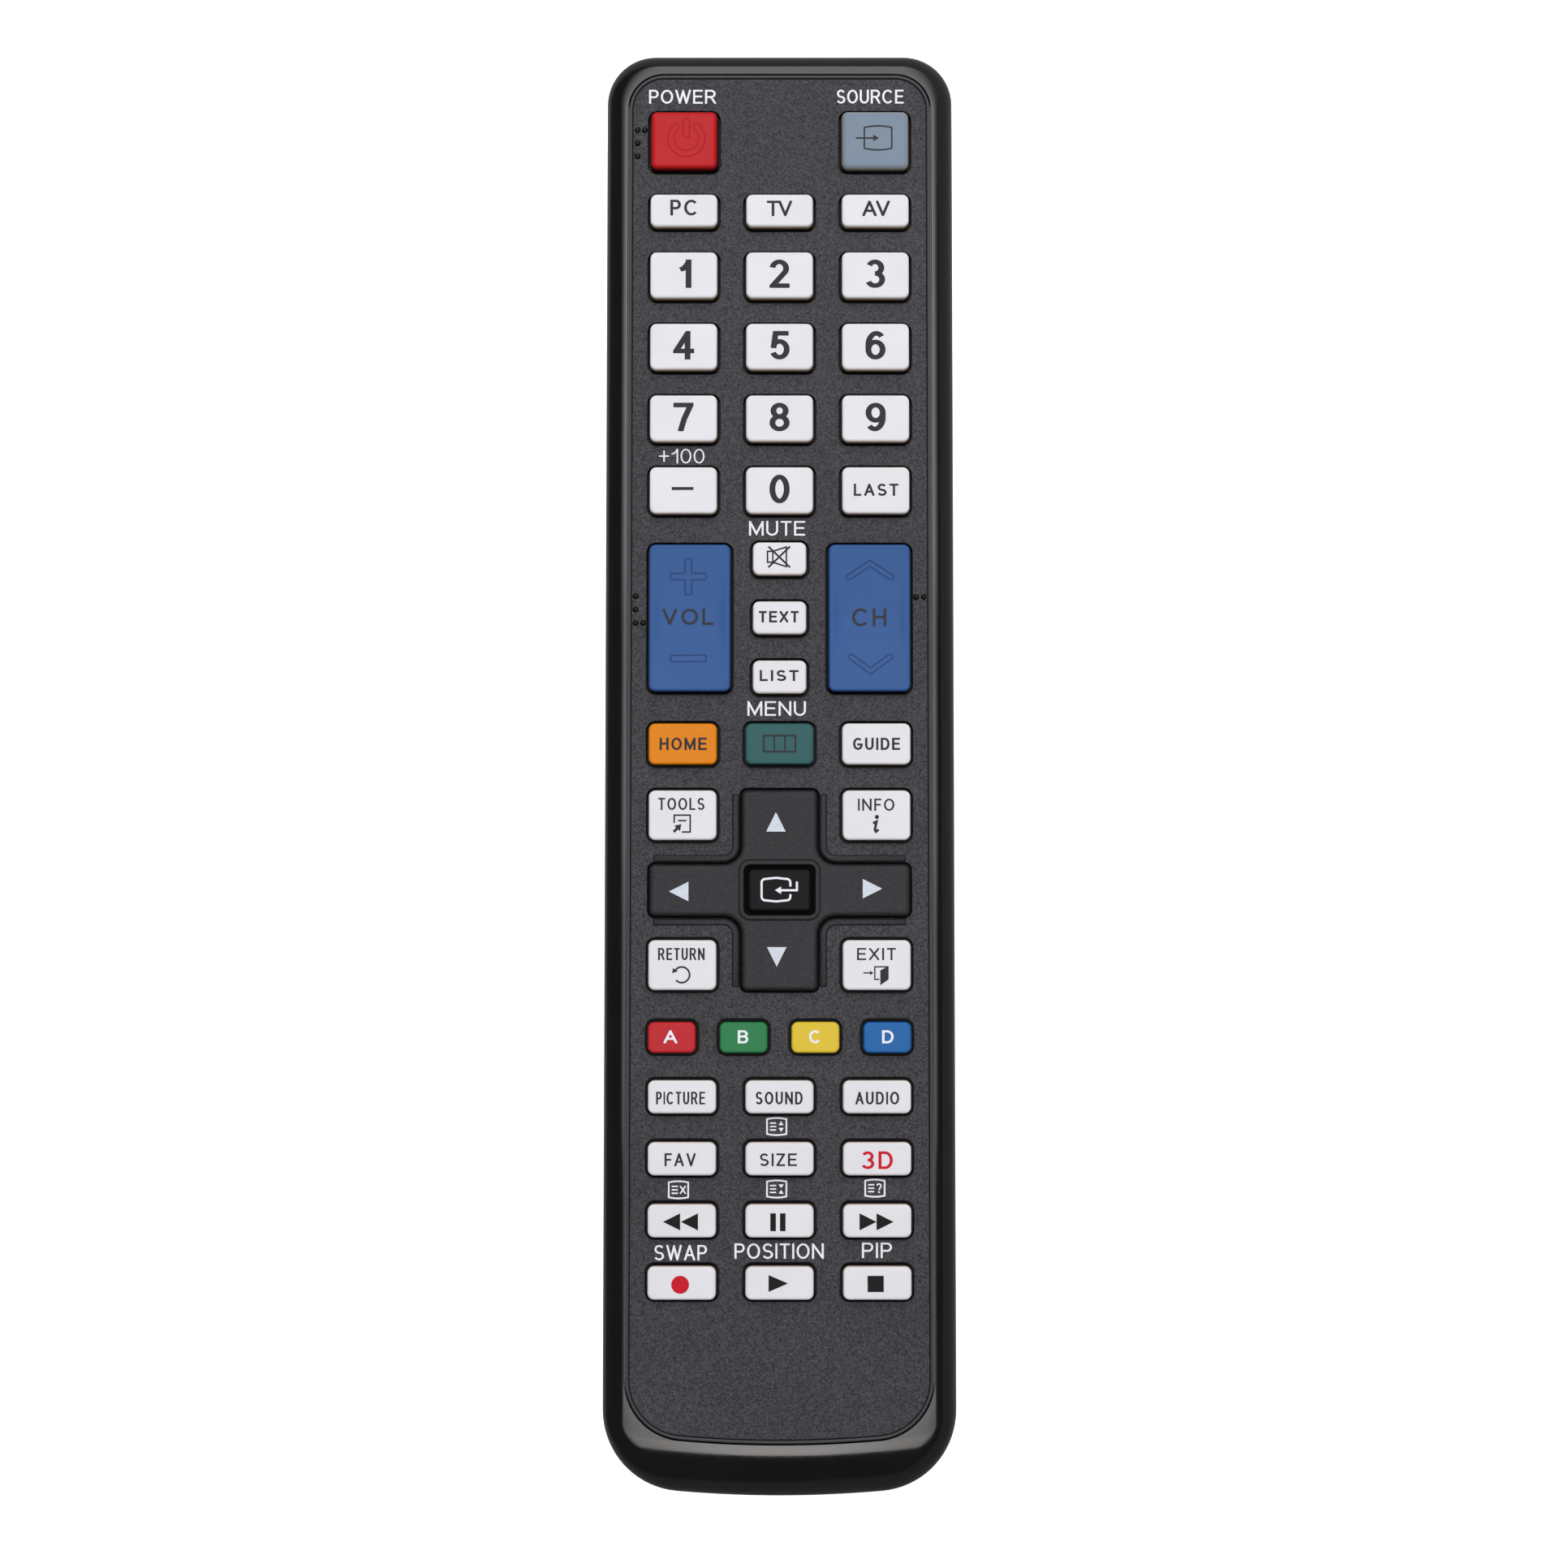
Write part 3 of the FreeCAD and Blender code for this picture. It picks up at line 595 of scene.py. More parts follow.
def outer_rings(by=0.0):
    """Rings up the outside of the case, from the table to the key face."""
    wide = shifted((0, 0, 0, HEAD_CORNER, TAIL_CORNER), by)
    belly = shifted(BELLY, by)
    side, head, tail, head_radius, _ = SHOULDER
    shoulder = shifted((side - 0.05, head - 0.05, tail - 0.05, head_radius + 0.05, DECK_CORNER), by)
    fine = 14 if by == 0 else 4
    rings = [(case_plan(*shifted(belly, 0.12)), by)]
    rings += roll(by, BELLY_RISE - by, belly, wide, fine)
    rings += reversed(roll(FACE_Z - by, by - SHOULDER_DROP, shoulder, wide, fine + 4))
    return rings


def case_solid(by=0.0):
    return Form().closed(outer_rings(by)).mesh("case_solid")


def case_tub():
    """The tub's wall as one closed skin: outside, mouth, ledge and hollow."""
    inner = (WALL, WALL, WALL, HEAD_CORNER - WALL, TAIL_CORNER - WALL)
    rings = outer_rings()
    rings += mouth_rings((-0.03, FACE_Z), (0.0, FACE_Z - 0.03), (0.0, PANEL_UNDER),
                         (LEDGE_WIDTH, PANEL_UNDER), (LEDGE_WIDTH, LEDGE_UNDER))
    rings.append((case_plan(*inner), LEDGE_UNDER))
    rings += reversed(roll(WALL, BELLY_RISE - WALL, BELLY, inner, 5))
    return Form().closed(rings).mesh("case_tub")


def door_space(clear):
    """The space of the battery door: its plate, end lip, tongues and latch.

    Faces that would lie in one plane are set a hair apart, so that the union stays clean."""
    edge = DOOR_HALF + clear
    far = TAIL_Y - 2
    top = DOOR_THICK + clear
    low = DOOR_THICK - TONGUE_THICK - clear
    start = TAIL_Y + TONGUE_FROM_TAIL if clear == 0 else far
    latch = LATCH_HALF + clear
    return merged([
        box_mesh(-edge, edge, far, DOOR_HEAD + clear, -1, top),
        box_mesh(-edge, edge, far - 0.01, TAIL_Y + LIP_DEPTH + clear, -1.01, LIP_HEIGHT + clear),
        box_mesh(-edge - TONGUE_WIDTH, edge + TONGUE_WIDTH, start + 0.02, DOOR_HEAD - TONGUE_SETBACK + clear,
                 low, top - 0.003),
        box_mesh(-latch, latch, DOOR_HEAD - LATCH_LENGTH, DOOR_HEAD + LATCH_LENGTH + clear,
                 low + 0.004, top - 0.006),
    ])


def build_case():
    """The tub with its ribs, battery bay and openings, and the door with its grip."""
    floor = CLEAR + DOOR_FLOOR
    recess = DOOR_HALF + TONGUE_WIDTH + floor
    bay_out = BAY_HALF + BAY_WALL
    added = [
        box_mesh(-recess, recess, TAIL_Y, DOOR_HEAD + LATCH_LENGTH + floor, 0.2, DOOR_THICK + floor),
        box_mesh(-recess, recess, TAIL_Y - 0.1, TAIL_Y + LIP_DEPTH + floor, 0.1, LIP_HEIGHT + floor),
        box_mesh(-bay_out, bay_out, BAY_TAIL - BAY_WALL, BAY_HEAD + BAY_WALL, 0.3, BAY_TOP + BAY_WALL),
    ]
    for distance in RIBS_FROM_HEAD:
        y = HEAD_Y - distance
        for span in both_sides(*RIB_SPAN):
            added.append(box_mesh(*span, y - RIB_HALF, y + RIB_HALF, WALL / 2, BOARD_Z))
    inside = combined(merged(added), case_solid(SKIN), "INTERSECT")
    bay = box_mesh(-BAY_HALF, BAY_HALF, BAY_TAIL, BAY_HEAD, -1, BAY_TOP)
    divider = box_mesh(-DIVIDER_HALF, DIVIDER_HALF, BAY_TAIL + DIVIDER_END, BAY_HEAD - DIVIDER_END,
                       BAY_TOP - DIVIDER_DROP, BAY_TOP + 0.5)
    cuts = [
        combined(bay, divider, "DIFFERENCE"),
        door_space(CLEAR),
        box_mesh(-WINDOW_HALF, WINDOW_HALF, HEAD_Y - WALL - 1, HEAD_Y + 1, *WINDOW_Z),
    ]
    for x in (-CELL_X, CELL_X):
        cuts.append(box_mesh(x - SLOT_HALF, x + SLOT_HALF, BAY_HEAD - SLOT_DEPTH, BAY_HEAD - 0.001,
                             BAY_TOP - 1, BAY_TOP + SLOT_RISE))
    shell = cut_by(combined(case_tub(), inside, "UNION"), cuts)
    piece("case_tub", shell, CASE_GLOSS, "remote", "case_gloss", ["rear_case"])

    cuts = []
    for i in range(GROOVE_COUNT):
        plan = rect_plan(0, DOOR_HEAD - GROOVE_FROM_EDGE - i * GROOVE_PITCH, GROOVE_SIZE, 0.49)
        cuts.append(Form().closed([(plan, GRIP_DEPTH), (plan, -0.5)]).mesh("groove"))
    for distance in CHEVRONS_FROM_EDGE:
        arrow = Mark(0, DOOR_HEAD - distance).stroke([(-3.2, 1.6), (0, -1.6), (3.2, 1.6)], 0.8)
        cuts.append(arrow.mesh("arrow", -0.5, GRIP_DEPTH))
    door = cut_by(combined(case_solid(), door_space(0), "INTERSECT"), cuts)
    piece("door", door, CASE_GLOSS, "battery_door", "case_gloss", ["battery_door"])


# Keys: sizes across and along, and each row's distance from the signal end

SIZES = {
    "power": (9.2, 8.05), "name": (9.2, 4.5), "digit": (9.2, 6.4), "rocker": (11.1, 20.1),
    "centre": (7.3, 4.5), "menu": (9.3, 5.6), "tool": (9.2, 6.75), "colour": (6.5, 4.2),
    "function": (9.2, 4.45),
}
ROWS = {"power": 12.9, "name": 22.75, "digit": 31.75, "rocker": 79.04, "menu": 96.29,
        "pad": 116.14, "colour": 136.04, "function": 144.04}
PITCH = 13.15
ROCKER_PITCH = 12.25
COLOUR_PITCH = 9.7
DIGIT_STEP = 9.93
CENTRE_STEP = 8.1
TOOL_OFFSET = 10.15
FUNCTION_STEP = 8.3
COATS_BY_NAME = {
    "key_power": "key_power_red", "key_source": "key_slate_blue", "key_home": "key_orange",
    "key_menu": "key_teal", "key_red": "key_signal_red", "key_green": "key_signal_green",
    "key_yellow": "key_signal_yellow", "key_blue": "key_signal_blue",
    "volume_rocker": "rocker_blue", "channel_rocker": "rocker_blue",
}


def key_places():
    """Every key and rocker: its place across and along, and its size."""
    places = {}

    def row(names, kind, distance, pitch=PITCH):
        names = names.split()
        for i, name in enumerate(names):
            if name != ".":
                x = (i - (len(names) - 1) / 2) * pitch
                full = name if "rocker" in name else "key_" + name
                places[full] = (x, HEAD_Y - distance, SIZES[kind])

    row("power . source", "power", ROWS["power"])
    row("pc tv av", "name", ROWS["name"])
    for i, names in enumerate(("1 2 3", "4 5 6", "7 8 9", "dash 0 last_channel")):
        row(names, "digit", ROWS["digit"] + i * DIGIT_STEP)
    row("volume_rocker . channel_rocker", "rocker", ROWS["rocker"], ROCKER_PITCH)
    for i, name in enumerate(("mute", "text", "channel_list")):
        row(name, "centre", ROWS["rocker"] + (i - 1) * CENTRE_STEP)
    row("home menu guide", "menu", ROWS["menu"])
    row("tools . info", "tool", ROWS["pad"] - TOOL_OFFSET)
    row("return . exit", "tool", ROWS["pad"] + TOOL_OFFSET)
    row("red green yellow blue", "colour", ROWS["colour"], COLOUR_PITCH)
    for i, names in enumerate(("picture_mode sound_mode audio", "favourite picture_size 3d",
                               "rewind pause forward", "record play stop")):
        row(names, "function", ROWS["function"] + i * FUNCTION_STEP)
    return places


def dish(y):
    """How far the top of a rocker lies below its ends, at a distance along it from its middle."""
    return DISH_DEPTH * max(0.0, 1 - (y / DISH_HALF) ** 2)


def rounded_over(plan, height, edge, steps, past=0.05):
    """Rings over a rounded upper edge: plan takes how far it grows, and height a drop from the top."""
    rings = []
    for step in range(steps + 1):
        a = math.pi / 2 * step / steps
        rings.append((plan(-edge * (1 - math.cos(a))), height(edge * (1 - math.sin(a)))))
    return rings + [(plan(-edge - past), height(0.0))]


def build_key(name, x, y, size):
    """A key or rocker: flange, wall, rolled upper edge and top."""
    rocker = size == SIZES["rocker"]
    edge = POWER_EDGE if size == SIZES["power"] else KEY_EDGE
    low = MAT_TOP + ROCKER_TILT_ROOM if rocker else KEY_LOW
    flange_top = PANEL_UNDER - ROCKER_TILT_ROOM if rocker else FLANGE_TOP
    flange = partial(rect_plan, x, y, size, FLANGE_CORNER)
    cap = partial(rect_plan, x, y, size, KEY_CORNER)

    def height(drop):
        return lambda px, py: KEY_TOP - (dish(py - y) if rocker else 0.0) - drop

    rings = [(flange(FLANGE - 0.1), low), (flange(FLANGE), low + 0.1), (flange(FLANGE), flange_top - 0.1),
             (flange(FLANGE - 0.1), flange_top), (cap(), flange_top)]
    rings += rounded_over(cap, height, edge, 6)
    form = Form()
    if rocker:
        made = form.loft(rings)
        form.lid(made[0])
        across = size[0] / 2 - 1.0
        along = size[1] / 2 - 1.0
        grid = [(x + across * (i / 4 - 1), y + along * (j / 12 - 1)) for i in range(9) for j in range(25)]
        form.sheet(made[-1], inner=form.ring(grid, height(0.0)))
    else:
        form.closed(rings)
    coat = COATS_BY_NAME.get(name, "key_white")
    piece(name + "_cap", form.mesh(name), COATS[coat], name, coat, [name])


# Face plate

DOT_RADIUS = 0.42
DOT_RISE = 0.3
DOTS = [(-19.62, 87.85), (-18.62, 87.85), (-19.62, 86.0), (-19.62, 84.16), (-19.7, 23.04),
        (-19.7, 21.21), (-19.7, 19.38), (-18.67, 19.38), (18.67, 22.94), (19.72, 22.94)]


def rail_plan(side, up, by):
    """The plan of one track beside the pad's hole, in the corner that side and up name."""
    arm_x, arm_y = PAD_ARM
    end_x, end_y = (half + PAD_GAP - RAIL_SETBACK for half in PAD_HALF)
    near = PAD_GAP + RAIL_GAP
    far = near + RAIL_WIDTH
    corners = [
        (arm_x + near - by, end_y + by), (arm_x + near - by, arm_y + near - by),
        (end_x + by, arm_y + near - by), (end_x + by, arm_y + far + by),
        (arm_x + far + by, arm_y + far + by), (arm_x + far + by, end_y + by),
    ]
    radii = [0.1, PAD_INNER - near + by, 0.1, 0.1, PAD_INNER - far - by, 0.1]
    return rounded([(side * x, PAD_Y + up * y) for x, y in corners], radii, 8)


def build_panel(places):
    """The face plate with its holes and hooks, its lip, the tracks round the pad, and the dots."""
    form = Form()
    edge = form.loft(mouth_rings((0.22, PANEL_UNDER), (0.22, FACE_Z - 0.25), (0.76, FACE_Z - 0.25),
                                 (0.76, FACE_Z - 0.04), (0.8, FACE_Z)))

    def hole(plan, gap):
        return form.loft([(plan(gap + 0.07), FACE_Z), (plan(gap), FACE_Z - 0.07), (plan(gap), PANEL_UNDER)])

    holes = [hole(partial(rect_plan, x, y, size, KEY_CORNER), KEY_GAP) for x, y, size in places.values()]
    holes.append(hole(pad_plan, PAD_GAP))
    form.sheet(edge[-1], [rings[0] for rings in holes])
    form.sheet(edge[0], [rings[-1] for rings in holes])
    low = PANEL_UNDER - HOOK_DEPTH
    for distance in HOOKS_FROM_HEAD:
        y = HEAD_Y - distance
        along = (y - HOOK_HALF, y + HOOK_HALF)
        for leg, barb in zip(both_sides(*HOOK_LEG), both_sides(*HOOK_BARB)):
            form.box(*leg, *along, low, PANEL_UNDER + 0.05)
            form.box(*barb, *along, low, LEDGE_UNDER - 0.1)
    piece("face_plate", form.mesh("face_plate"), PANEL_MATTE, "remote", "panel_matte", ["front_panel"])

    lip = [(0.2, -0.26), (0.2, 0.02), (0.23, 0.07), (0.3, 0.1), (0.5, 0.1), (0.57, 0.07), (0.6, 0.02),
           (0.6, -0.26)]
    form = Form().looped(mouth_rings(*[(inset, FACE_Z + rise) for inset, rise in lip]))
    piece("panel_lip", form.mesh("panel_lip"), LIP_SATIN, "remote", "panel_matte")

    form = Form()
    for side in (-1, 1):
        for up in (-1, 1):
            form.closed([(rail_plan(side, up, by), FACE_Z + rise)
                         for by, rise in ((0.09, -0.1), (0.09, 0.03), (-0.11, 0.18))])
    piece("pad_rails", form.mesh("pad_rails"), RAIL_MATTE, "remote", "panel_matte")

    form = Form()
    for x, y in DOTS:
        rings = []
        for k in range(6):
            a = math.radians(15 * k)
            radius = DOT_RADIUS * math.cos(a)
            rings.append((bend(x, y, radius, radius, 0, 345, 15), FACE_Z - 0.05 + DOT_RISE * math.sin(a)))
        form.closed(rings)
    piece("panel_dots", form.mesh("panel_dots", 60), DOT_SATIN, "remote", "panel_matte")


# Direction pad and enter key

def grown(size, by):
    return (size[0] + 2 * by, size[1] + 2 * by)


def build_pad():
    """The cross with its ring and well, and the enter key in the middle."""
    opening = grown(RING, -RING_WIDTH)
    corner = RING_CORNER - RING_WIDTH
    enter = grown(opening, -ENTER_GAP)
    base = grown(enter, ENTER_FLANGE)
    collar = partial(rect_plan, 0, PAD_Y, RING, RING_CORNER, steps=8)
    mouth = partial(rect_plan, 0, PAD_Y, opening, corner, steps=8)
    well = rect_plan(0, PAD_Y, grown(base, WELL_GAP), ENTER_FLANGE_CORNER, steps=8)
    form = Form()
    flange = pad_plan(PAD_GAP + PAD_FLANGE, 0.1)
    rings = [(flange, PAD_LOW), (flange, PAD_FLANGE_TOP), (pad_plan(0.0), PAD_FLANGE_TOP)]
    rings += rounded_over(pad_plan, lambda drop: PAD_TOP - drop, PAD_EDGE, 7, 0.04)
    outer = form.loft(rings)
    rings = [(collar(by), z) for by, z in (
        (0.0, PAD_TOP), (-0.03, PAD_TOP - 0.3), (-0.19, PAD_TOP - 0.3),
        (-0.2, RING_TOP - 0.1), (-0.22, RING_TOP - 0.03), (-0.28, RING_TOP))]
    rings += [(mouth(by), z) for by, z in (
        (0.1, RING_TOP), (0.03, RING_TOP - 0.03), (0.0, RING_TOP - 0.1), (0.0, WELL_TOP))]
    inner = form.loft(rings + [(well, WELL_TOP), (well, PAD_LOW)])
    form.sheet(outer[-1], [inner[0]])
    form.sheet(outer[0], [inner[-1]])
    piece("pad_cross", form.mesh("pad_cross"), PAD_SATIN, "pad", "pad_dark", ["dpad_cross"])

    foot = rect_plan(0, PAD_Y, base, ENTER_FLANGE_CORNER)
    cap = partial(rect_plan, 0, PAD_Y, enter, corner)
    rings = [(foot, KEY_LOW), (foot, FLANGE_TOP - 0.1), (cap(), FLANGE_TOP - 0.1)]
    rings += rounded_over(cap, lambda drop: ENTER_TOP - drop, ENTER_EDGE, 5)
    form = Form().closed(rings)
    piece("enter_cap", form.mesh("enter_cap"), ENTER_SATIN, "key_enter", "enter_dark", ["key_enter"])


# Printed and moulded marks

# Plain letters and figures as strokes on a unit square, each with its relative width
ROUND = [bend(0.5, 0.5, 0.5, 0.5, 90, 450, 28)]
GLYPHS = {
    "A": (0.74, [[(0, 0), (0.5, 1), (1, 0)], [(0.2, 0.32), (0.8, 0.32)]]),
    "B": (0.66, [[(0, 0), (0, 1)],
                 [(0, 1)] + bend(0.58, 0.765, 0.36, 0.235, 90, -90) + [(0, 0.53)],
                 [(0, 0.53)] + bend(0.6, 0.265, 0.4, 0.265, 90, -90) + [(0, 0)]]),
    "C": (0.84, [bend(0.52, 0.5, 0.52, 0.5, 42, 318, 22)]),
    "D": (0.72, [[(0, 0), (0, 1)], [(0, 1)] + bend(0.45, 0.5, 0.55, 0.5, 90, -90, 16) + [(0, 0)]]),
    "E": (0.65, [[(1, 1), (0, 1), (0, 0), (1, 0)], [(0, 0.52), (0.88, 0.52)]]),
    "F": (0.56, [[(1, 1), (0, 1), (0, 0)], [(0, 0.5), (0.85, 0.5)]]),
    "G": (0.78, [bend(0.52, 0.5, 0.52, 0.5, 45, 335, 22) + [(1, 0.44)], [(0.6, 0.44), (1, 0.44)]]),
    "H": (0.7, [[(0, 0), (0, 1)], [(1, 0), (1, 1)], [(0, 0.52), (1, 0.52)]]),
    "I": (0.0, [[(0.5, 0), (0.5, 1)]]),
    "L": (0.54, [[(0, 1), (0, 0), (1, 0)]]),
    "M": (0.86, [[(0, 0), (0, 1), (0.5, 0.08), (1, 1), (1, 0)]]),
    "N": (0.74, [[(0, 0), (0, 1), (1, 0), (1, 1)]]),
    "O": (0.82, ROUND),
    "P": (0.64, [[(0, 0), (0, 1)], [(0, 1)] + bend(0.6, 0.73, 0.4, 0.27, 90, -90) + [(0, 0.46)]]),
    "R": (0.73, [[(0, 0), (0, 1)], [(0, 1)] + bend(0.58, 0.74, 0.38, 0.26, 90, -90) + [(0, 0.48)],
                 [(0.55, 0.48), (1, 0)]]),
    "S": (0.66, [bend(0.5, 0.745, 0.46, 0.255, 25, 270, 16)
                 + bend(0.5, 0.245, 0.5, 0.245, 90, -158, 16)[1:]]),
    "T": (0.64, [[(0, 1), (1, 1)], [(0.5, 1), (0.5, 0)]]),
    "U": (0.7, [[(0, 1)] + bend(0.5, 0.34, 0.5, 0.34, 180, 360, 14) + [(1, 1)]]),
    "V": (0.72, [[(0, 1), (0.5, 0), (1, 1)]]),
    "W": (1.04, [[(0, 1), (0.26, 0), (0.5, 0.95), (0.74, 0), (1, 1)]]),
    "X": (0.72, [[(0, 0), (1, 1)], [(0, 1), (1, 0)]]),
    "Z": (0.64, [[(0, 1), (1, 1), (0, 0), (1, 0)]]),
    "0": (0.66, ROUND),
    "1": (0.4, [[(1, 0), (1, 1)], [(0, 0.67), (0.42, 0.72), (0.8, 0.88), (1.0, 1.0)]]),
    "2": (0.64, [bend(0.48, 0.72, 0.48, 0.28, 172, -30, 16) + [(0.02, 0), (1, 0)]]),
    "3": (0.66, [bend(0.48, 0.75, 0.44, 0.25, 155, -90, 16), bend(0.48, 0.26, 0.5, 0.26, 90, -158, 16)]),
    "4": (0.7, [[(0.76, 0), (0.76, 1), (0, 0.26), (1, 0.26)]]),
    "5": (0.66, [[(0.92, 1), (0.22, 1), (0.1, 0.48)], bend(0.5, 0.33, 0.5, 0.33, 140, -155, 20)]),
    "6": (0.66, [bend(0.5, 0.32, 0.5, 0.32, 0, 360, 22),
                 bend(0.56, 0.5, 0.56, 0.5, 48, 180, 12) + [(0, 0.32)]]),
    "7": (0.64, [[(0, 1), (1, 1), (0.55, 0.42), (0.34, 0)]]),
    "8": (0.66, [bend(0.5, 0.76, 0.43, 0.24, 0, 360, 20), bend(0.5, 0.26, 0.5, 0.26, 0, 360, 22)]),
    "9": (0.66, [bend(0.5, 0.68, 0.5, 0.32, 0, 360, 22),
                 bend(0.44, 0.5, 0.56, 0.5, 228, 360, 12) + [(1, 0.68)]]),
    "+": (0.62, [[(0.5, 0.14), (0.5, 0.86)], [(0, 0.5), (1, 0.5)]]),
}


def clipped(shape, room):
    """A convex shape cut to a box, given as its left, right, low and high edges."""
    for limit, axis, keep in ((room[0], 0, 1), (room[1], 0, -1), (room[2], 1, 1), (room[3], 1, -1)):
        out = []
        for i, b in enumerate(shape):
            a = shape[i - 1]
            inside_a = (a[axis] - limit) * keep >= -1e-9
            inside_b = (b[axis] - limit) * keep >= -1e-9
            if inside_a != inside_b:
                t = (limit - a[axis]) / (b[axis] - a[axis])
                out.append((a[0] + (b[0] - a[0]) * t, a[1] + (b[1] - a[1]) * t))
            if inside_b:
                out.append(b)
        shape = out
    return shape


class Mark:
    """Flat shapes that are joined and raised a little to make a print or a relief."""

    def __init__(self, x=0.0, y=0.0):
        self.shapes = []
        self.at(x, y)

    def at(self, x, y):
        """Sets the place that the next shapes are drawn about."""
        self.x = x
        self.y = y
        return self

    def placed(self, line):
        return [(self.x + px, self.y + py) for px, py in line]

    def fill(self, shape):
        self.shapes.append(self.placed(shape))
        return self

    def disc(self, x, y, radius, steps=22):
        return self.fill(bend(x, y, radius, radius, 0, 360 - 360 / steps, steps - 1))

    def stroke(self, line, width, closed=False, room=None, reach=0.0):
        """A line drawn with mitred turns; reach lengthens its open ends."""
        points = [Vector(p) for p in self.placed(line)]
        points = [p for i, p in enumerate(points) if i == 0 or (p - points[i - 1]).length > 1e-6]
        if (points[0] - points[-1]).length < 1e-5:
            points.pop()
            closed = True
        count = len(points)
        if not closed and reach:
            first = points[0] - points[1]
            last = points[-1] - points[-2]
            if first.length > 2 * reach:
                points[0] = points[0] + first.normalized() * reach
            if last.length > 2 * reach:
                points[-1] = points[-1] + last.normalized() * reach
        sides = []
        for i in range(count):
            back = points[i] - points[i - 1] if closed or i > 0 else None
            ahead = points[(i + 1) % count] - points[i] if closed or i < count - 1 else None
            turns = [Vector((-d.y, d.x)).normalized() for d in (back, ahead) if d is not None]
            across = sum(turns, Vector((0, 0))).normalized()
            across *= min(1 / max(across.dot(turns[0]), 0.05), 6.0) * width / 2
            sides.append((points[i] + across, points[i] - across))
        for i in range(count if closed else count - 1):
            (a, b), (d, c) = sides[i], sides[(i + 1) % count]
            shape = [tuple(a), tuple(b), tuple(c), tuple(d)]
            if room is not None:
                shape = clipped(shape, room)
            if len(shape) > 2:
                self.shapes.append(shape)
        return self

    def word(self, text, x, y, width, height, weight, gap=0.2, contrast=1.15):
        """A line of text centred on x, y and fitted to its width.

        Upright strokes are weight wide, and level ones thinner by contrast."""
        tall = height * contrast
        wides = [max(GLYPHS[c][0], weight / tall) for c in text]
        across = width / (sum(wides) + gap * (len(text) - 1))
        left = x - width / 2
        low = -tall / 2
        drawn = Mark()
        for c, wide in zip(text, wides):
            span = wide * across
            room = (left, left + max(span, weight), low, low + tall)
            for line in GLYPHS[c][1]:
                points = [(left + weight / 2 + u * (span - weight), low + weight / 2 + v * (tall - weight))
                          for u, v in line]
                drawn.stroke(points, weight, room=room, reach=weight / 2 + 0.02)
            left += span + gap * across
        self.shapes += [[(px, y + py / contrast) for px, py in shape] for shape in drawn.shapes]
        return self

    def mesh(self, name, low, high):
        """Joins the shapes and raises them between two heights."""
        spots = []
        faces = []
        for shape in self.shapes:
            if area(shape) < 0:
                shape = shape[::-1]
            if area(shape) < 1e-7:
                continue
            faces.append(list(range(len(spots), len(spots) + len(shape))))
            spots += [Vector(p) for p in shape]
        found = delaunay_2d_cdt(spots, [], faces, 1, 1e-6)
        triangles = [t for t, source in zip(found[2], found[5]) if source]
        form = Form()
        used = sorted({i for t in triangles for i in t})
        place = {old: new for new, old in enumerate(used)}
        plan = [tuple(found[0][i]) for i in used]
        bottom = form.ring(plan, low)
        top = form.ring(plan, high)
        rim = {}
        for t in triangles:
            ids = [place[i] for i in t]
            form.faces.append(tuple(top[i] for i in ids))
            form.faces.append(tuple(bottom[i] for i in reversed(ids)))
            for a, b in zip(ids, ids[1:] + ids[:1]):
                rim[(a, b)] = True
        for a, b in rim:
            if (b, a) not in rim:
                form.faces.append((bottom[a], bottom[b], top[b], top[a]))
        return form.mesh(name, 20)


def printed(mark, name, colour, body, height, middle=None):
    """Puts a mark on a face, or on the hollow top of a rocker, whose middle is given."""
    def level(by):
        return height + by if middle is None else lambda x, y: height - dish(y - middle) + by

    sunk = PRINT_SUNK if middle is None else ROCKER_PRINT_SUNK
    piece(name, mark.mesh(name, level(-sunk), level(PRINT_PROUD)), INKS[colour], body)


def on_key(mark, key, colour="black"):
    printed(mark, "mark_key_" + key, colour, "key_" + key, KEY_TOP)


# Words on the keys: text, middle across and along, width, height and weight, and any colour but black
KEY_WORDS = {
    "last_channel": ("LAST", 13.19, 37.5, 6.1, 1.68, 0.32),
    "text": ("TEXT", -0.11, 20.06, 5.42, 1.56, 0.32),
    "channel_list": ("LIST", -0.05, 12.01, 5.3, 1.5, 0.32),
    "home": ("HOME", -13.1, 2.7, 6.4, 1.7, 0.32),
    "guide": ("GUIDE", 13.18, 2.7, 6.39, 1.66, 0.32),
    "tools": ("TOOLS", -13.32, -5.47, 6.28, 1.65, 0.26),
    "info": ("INFO", 13.11, -5.58, 4.95, 1.65, 0.26),
    "return": ("RETURN", -13.28, -25.8, 6.3, 1.64, 0.26),
    "exit": ("EXIT", 13.12, -25.8, 5.27, 1.64, 0.26),
    "picture_mode": ("PICTURE", -13.34, -45.18, 6.6, 1.7, 0.26),
    "sound_mode": ("SOUND", -0.05, -45.18, 6.35, 1.7, 0.29),
    "audio": ("AUDIO", 13.19, -45.18, 5.9, 1.7, 0.29),
    "favourite": ("FAV", -13.38, -53.44, 4.2, 1.74, 0.29),
    "picture_size": ("SIZE", -0.16, -53.44, 5.0, 1.7, 0.29),
    "pc": ("PC", -13.12, 76.6, 3.8, 2.2, 0.38),
    "tv": ("TV", -0.01, 76.49, 3.46, 2.15, 0.38),
    "av": ("AV", 13.27, 76.49, 3.8, 2.15, 0.38),
}
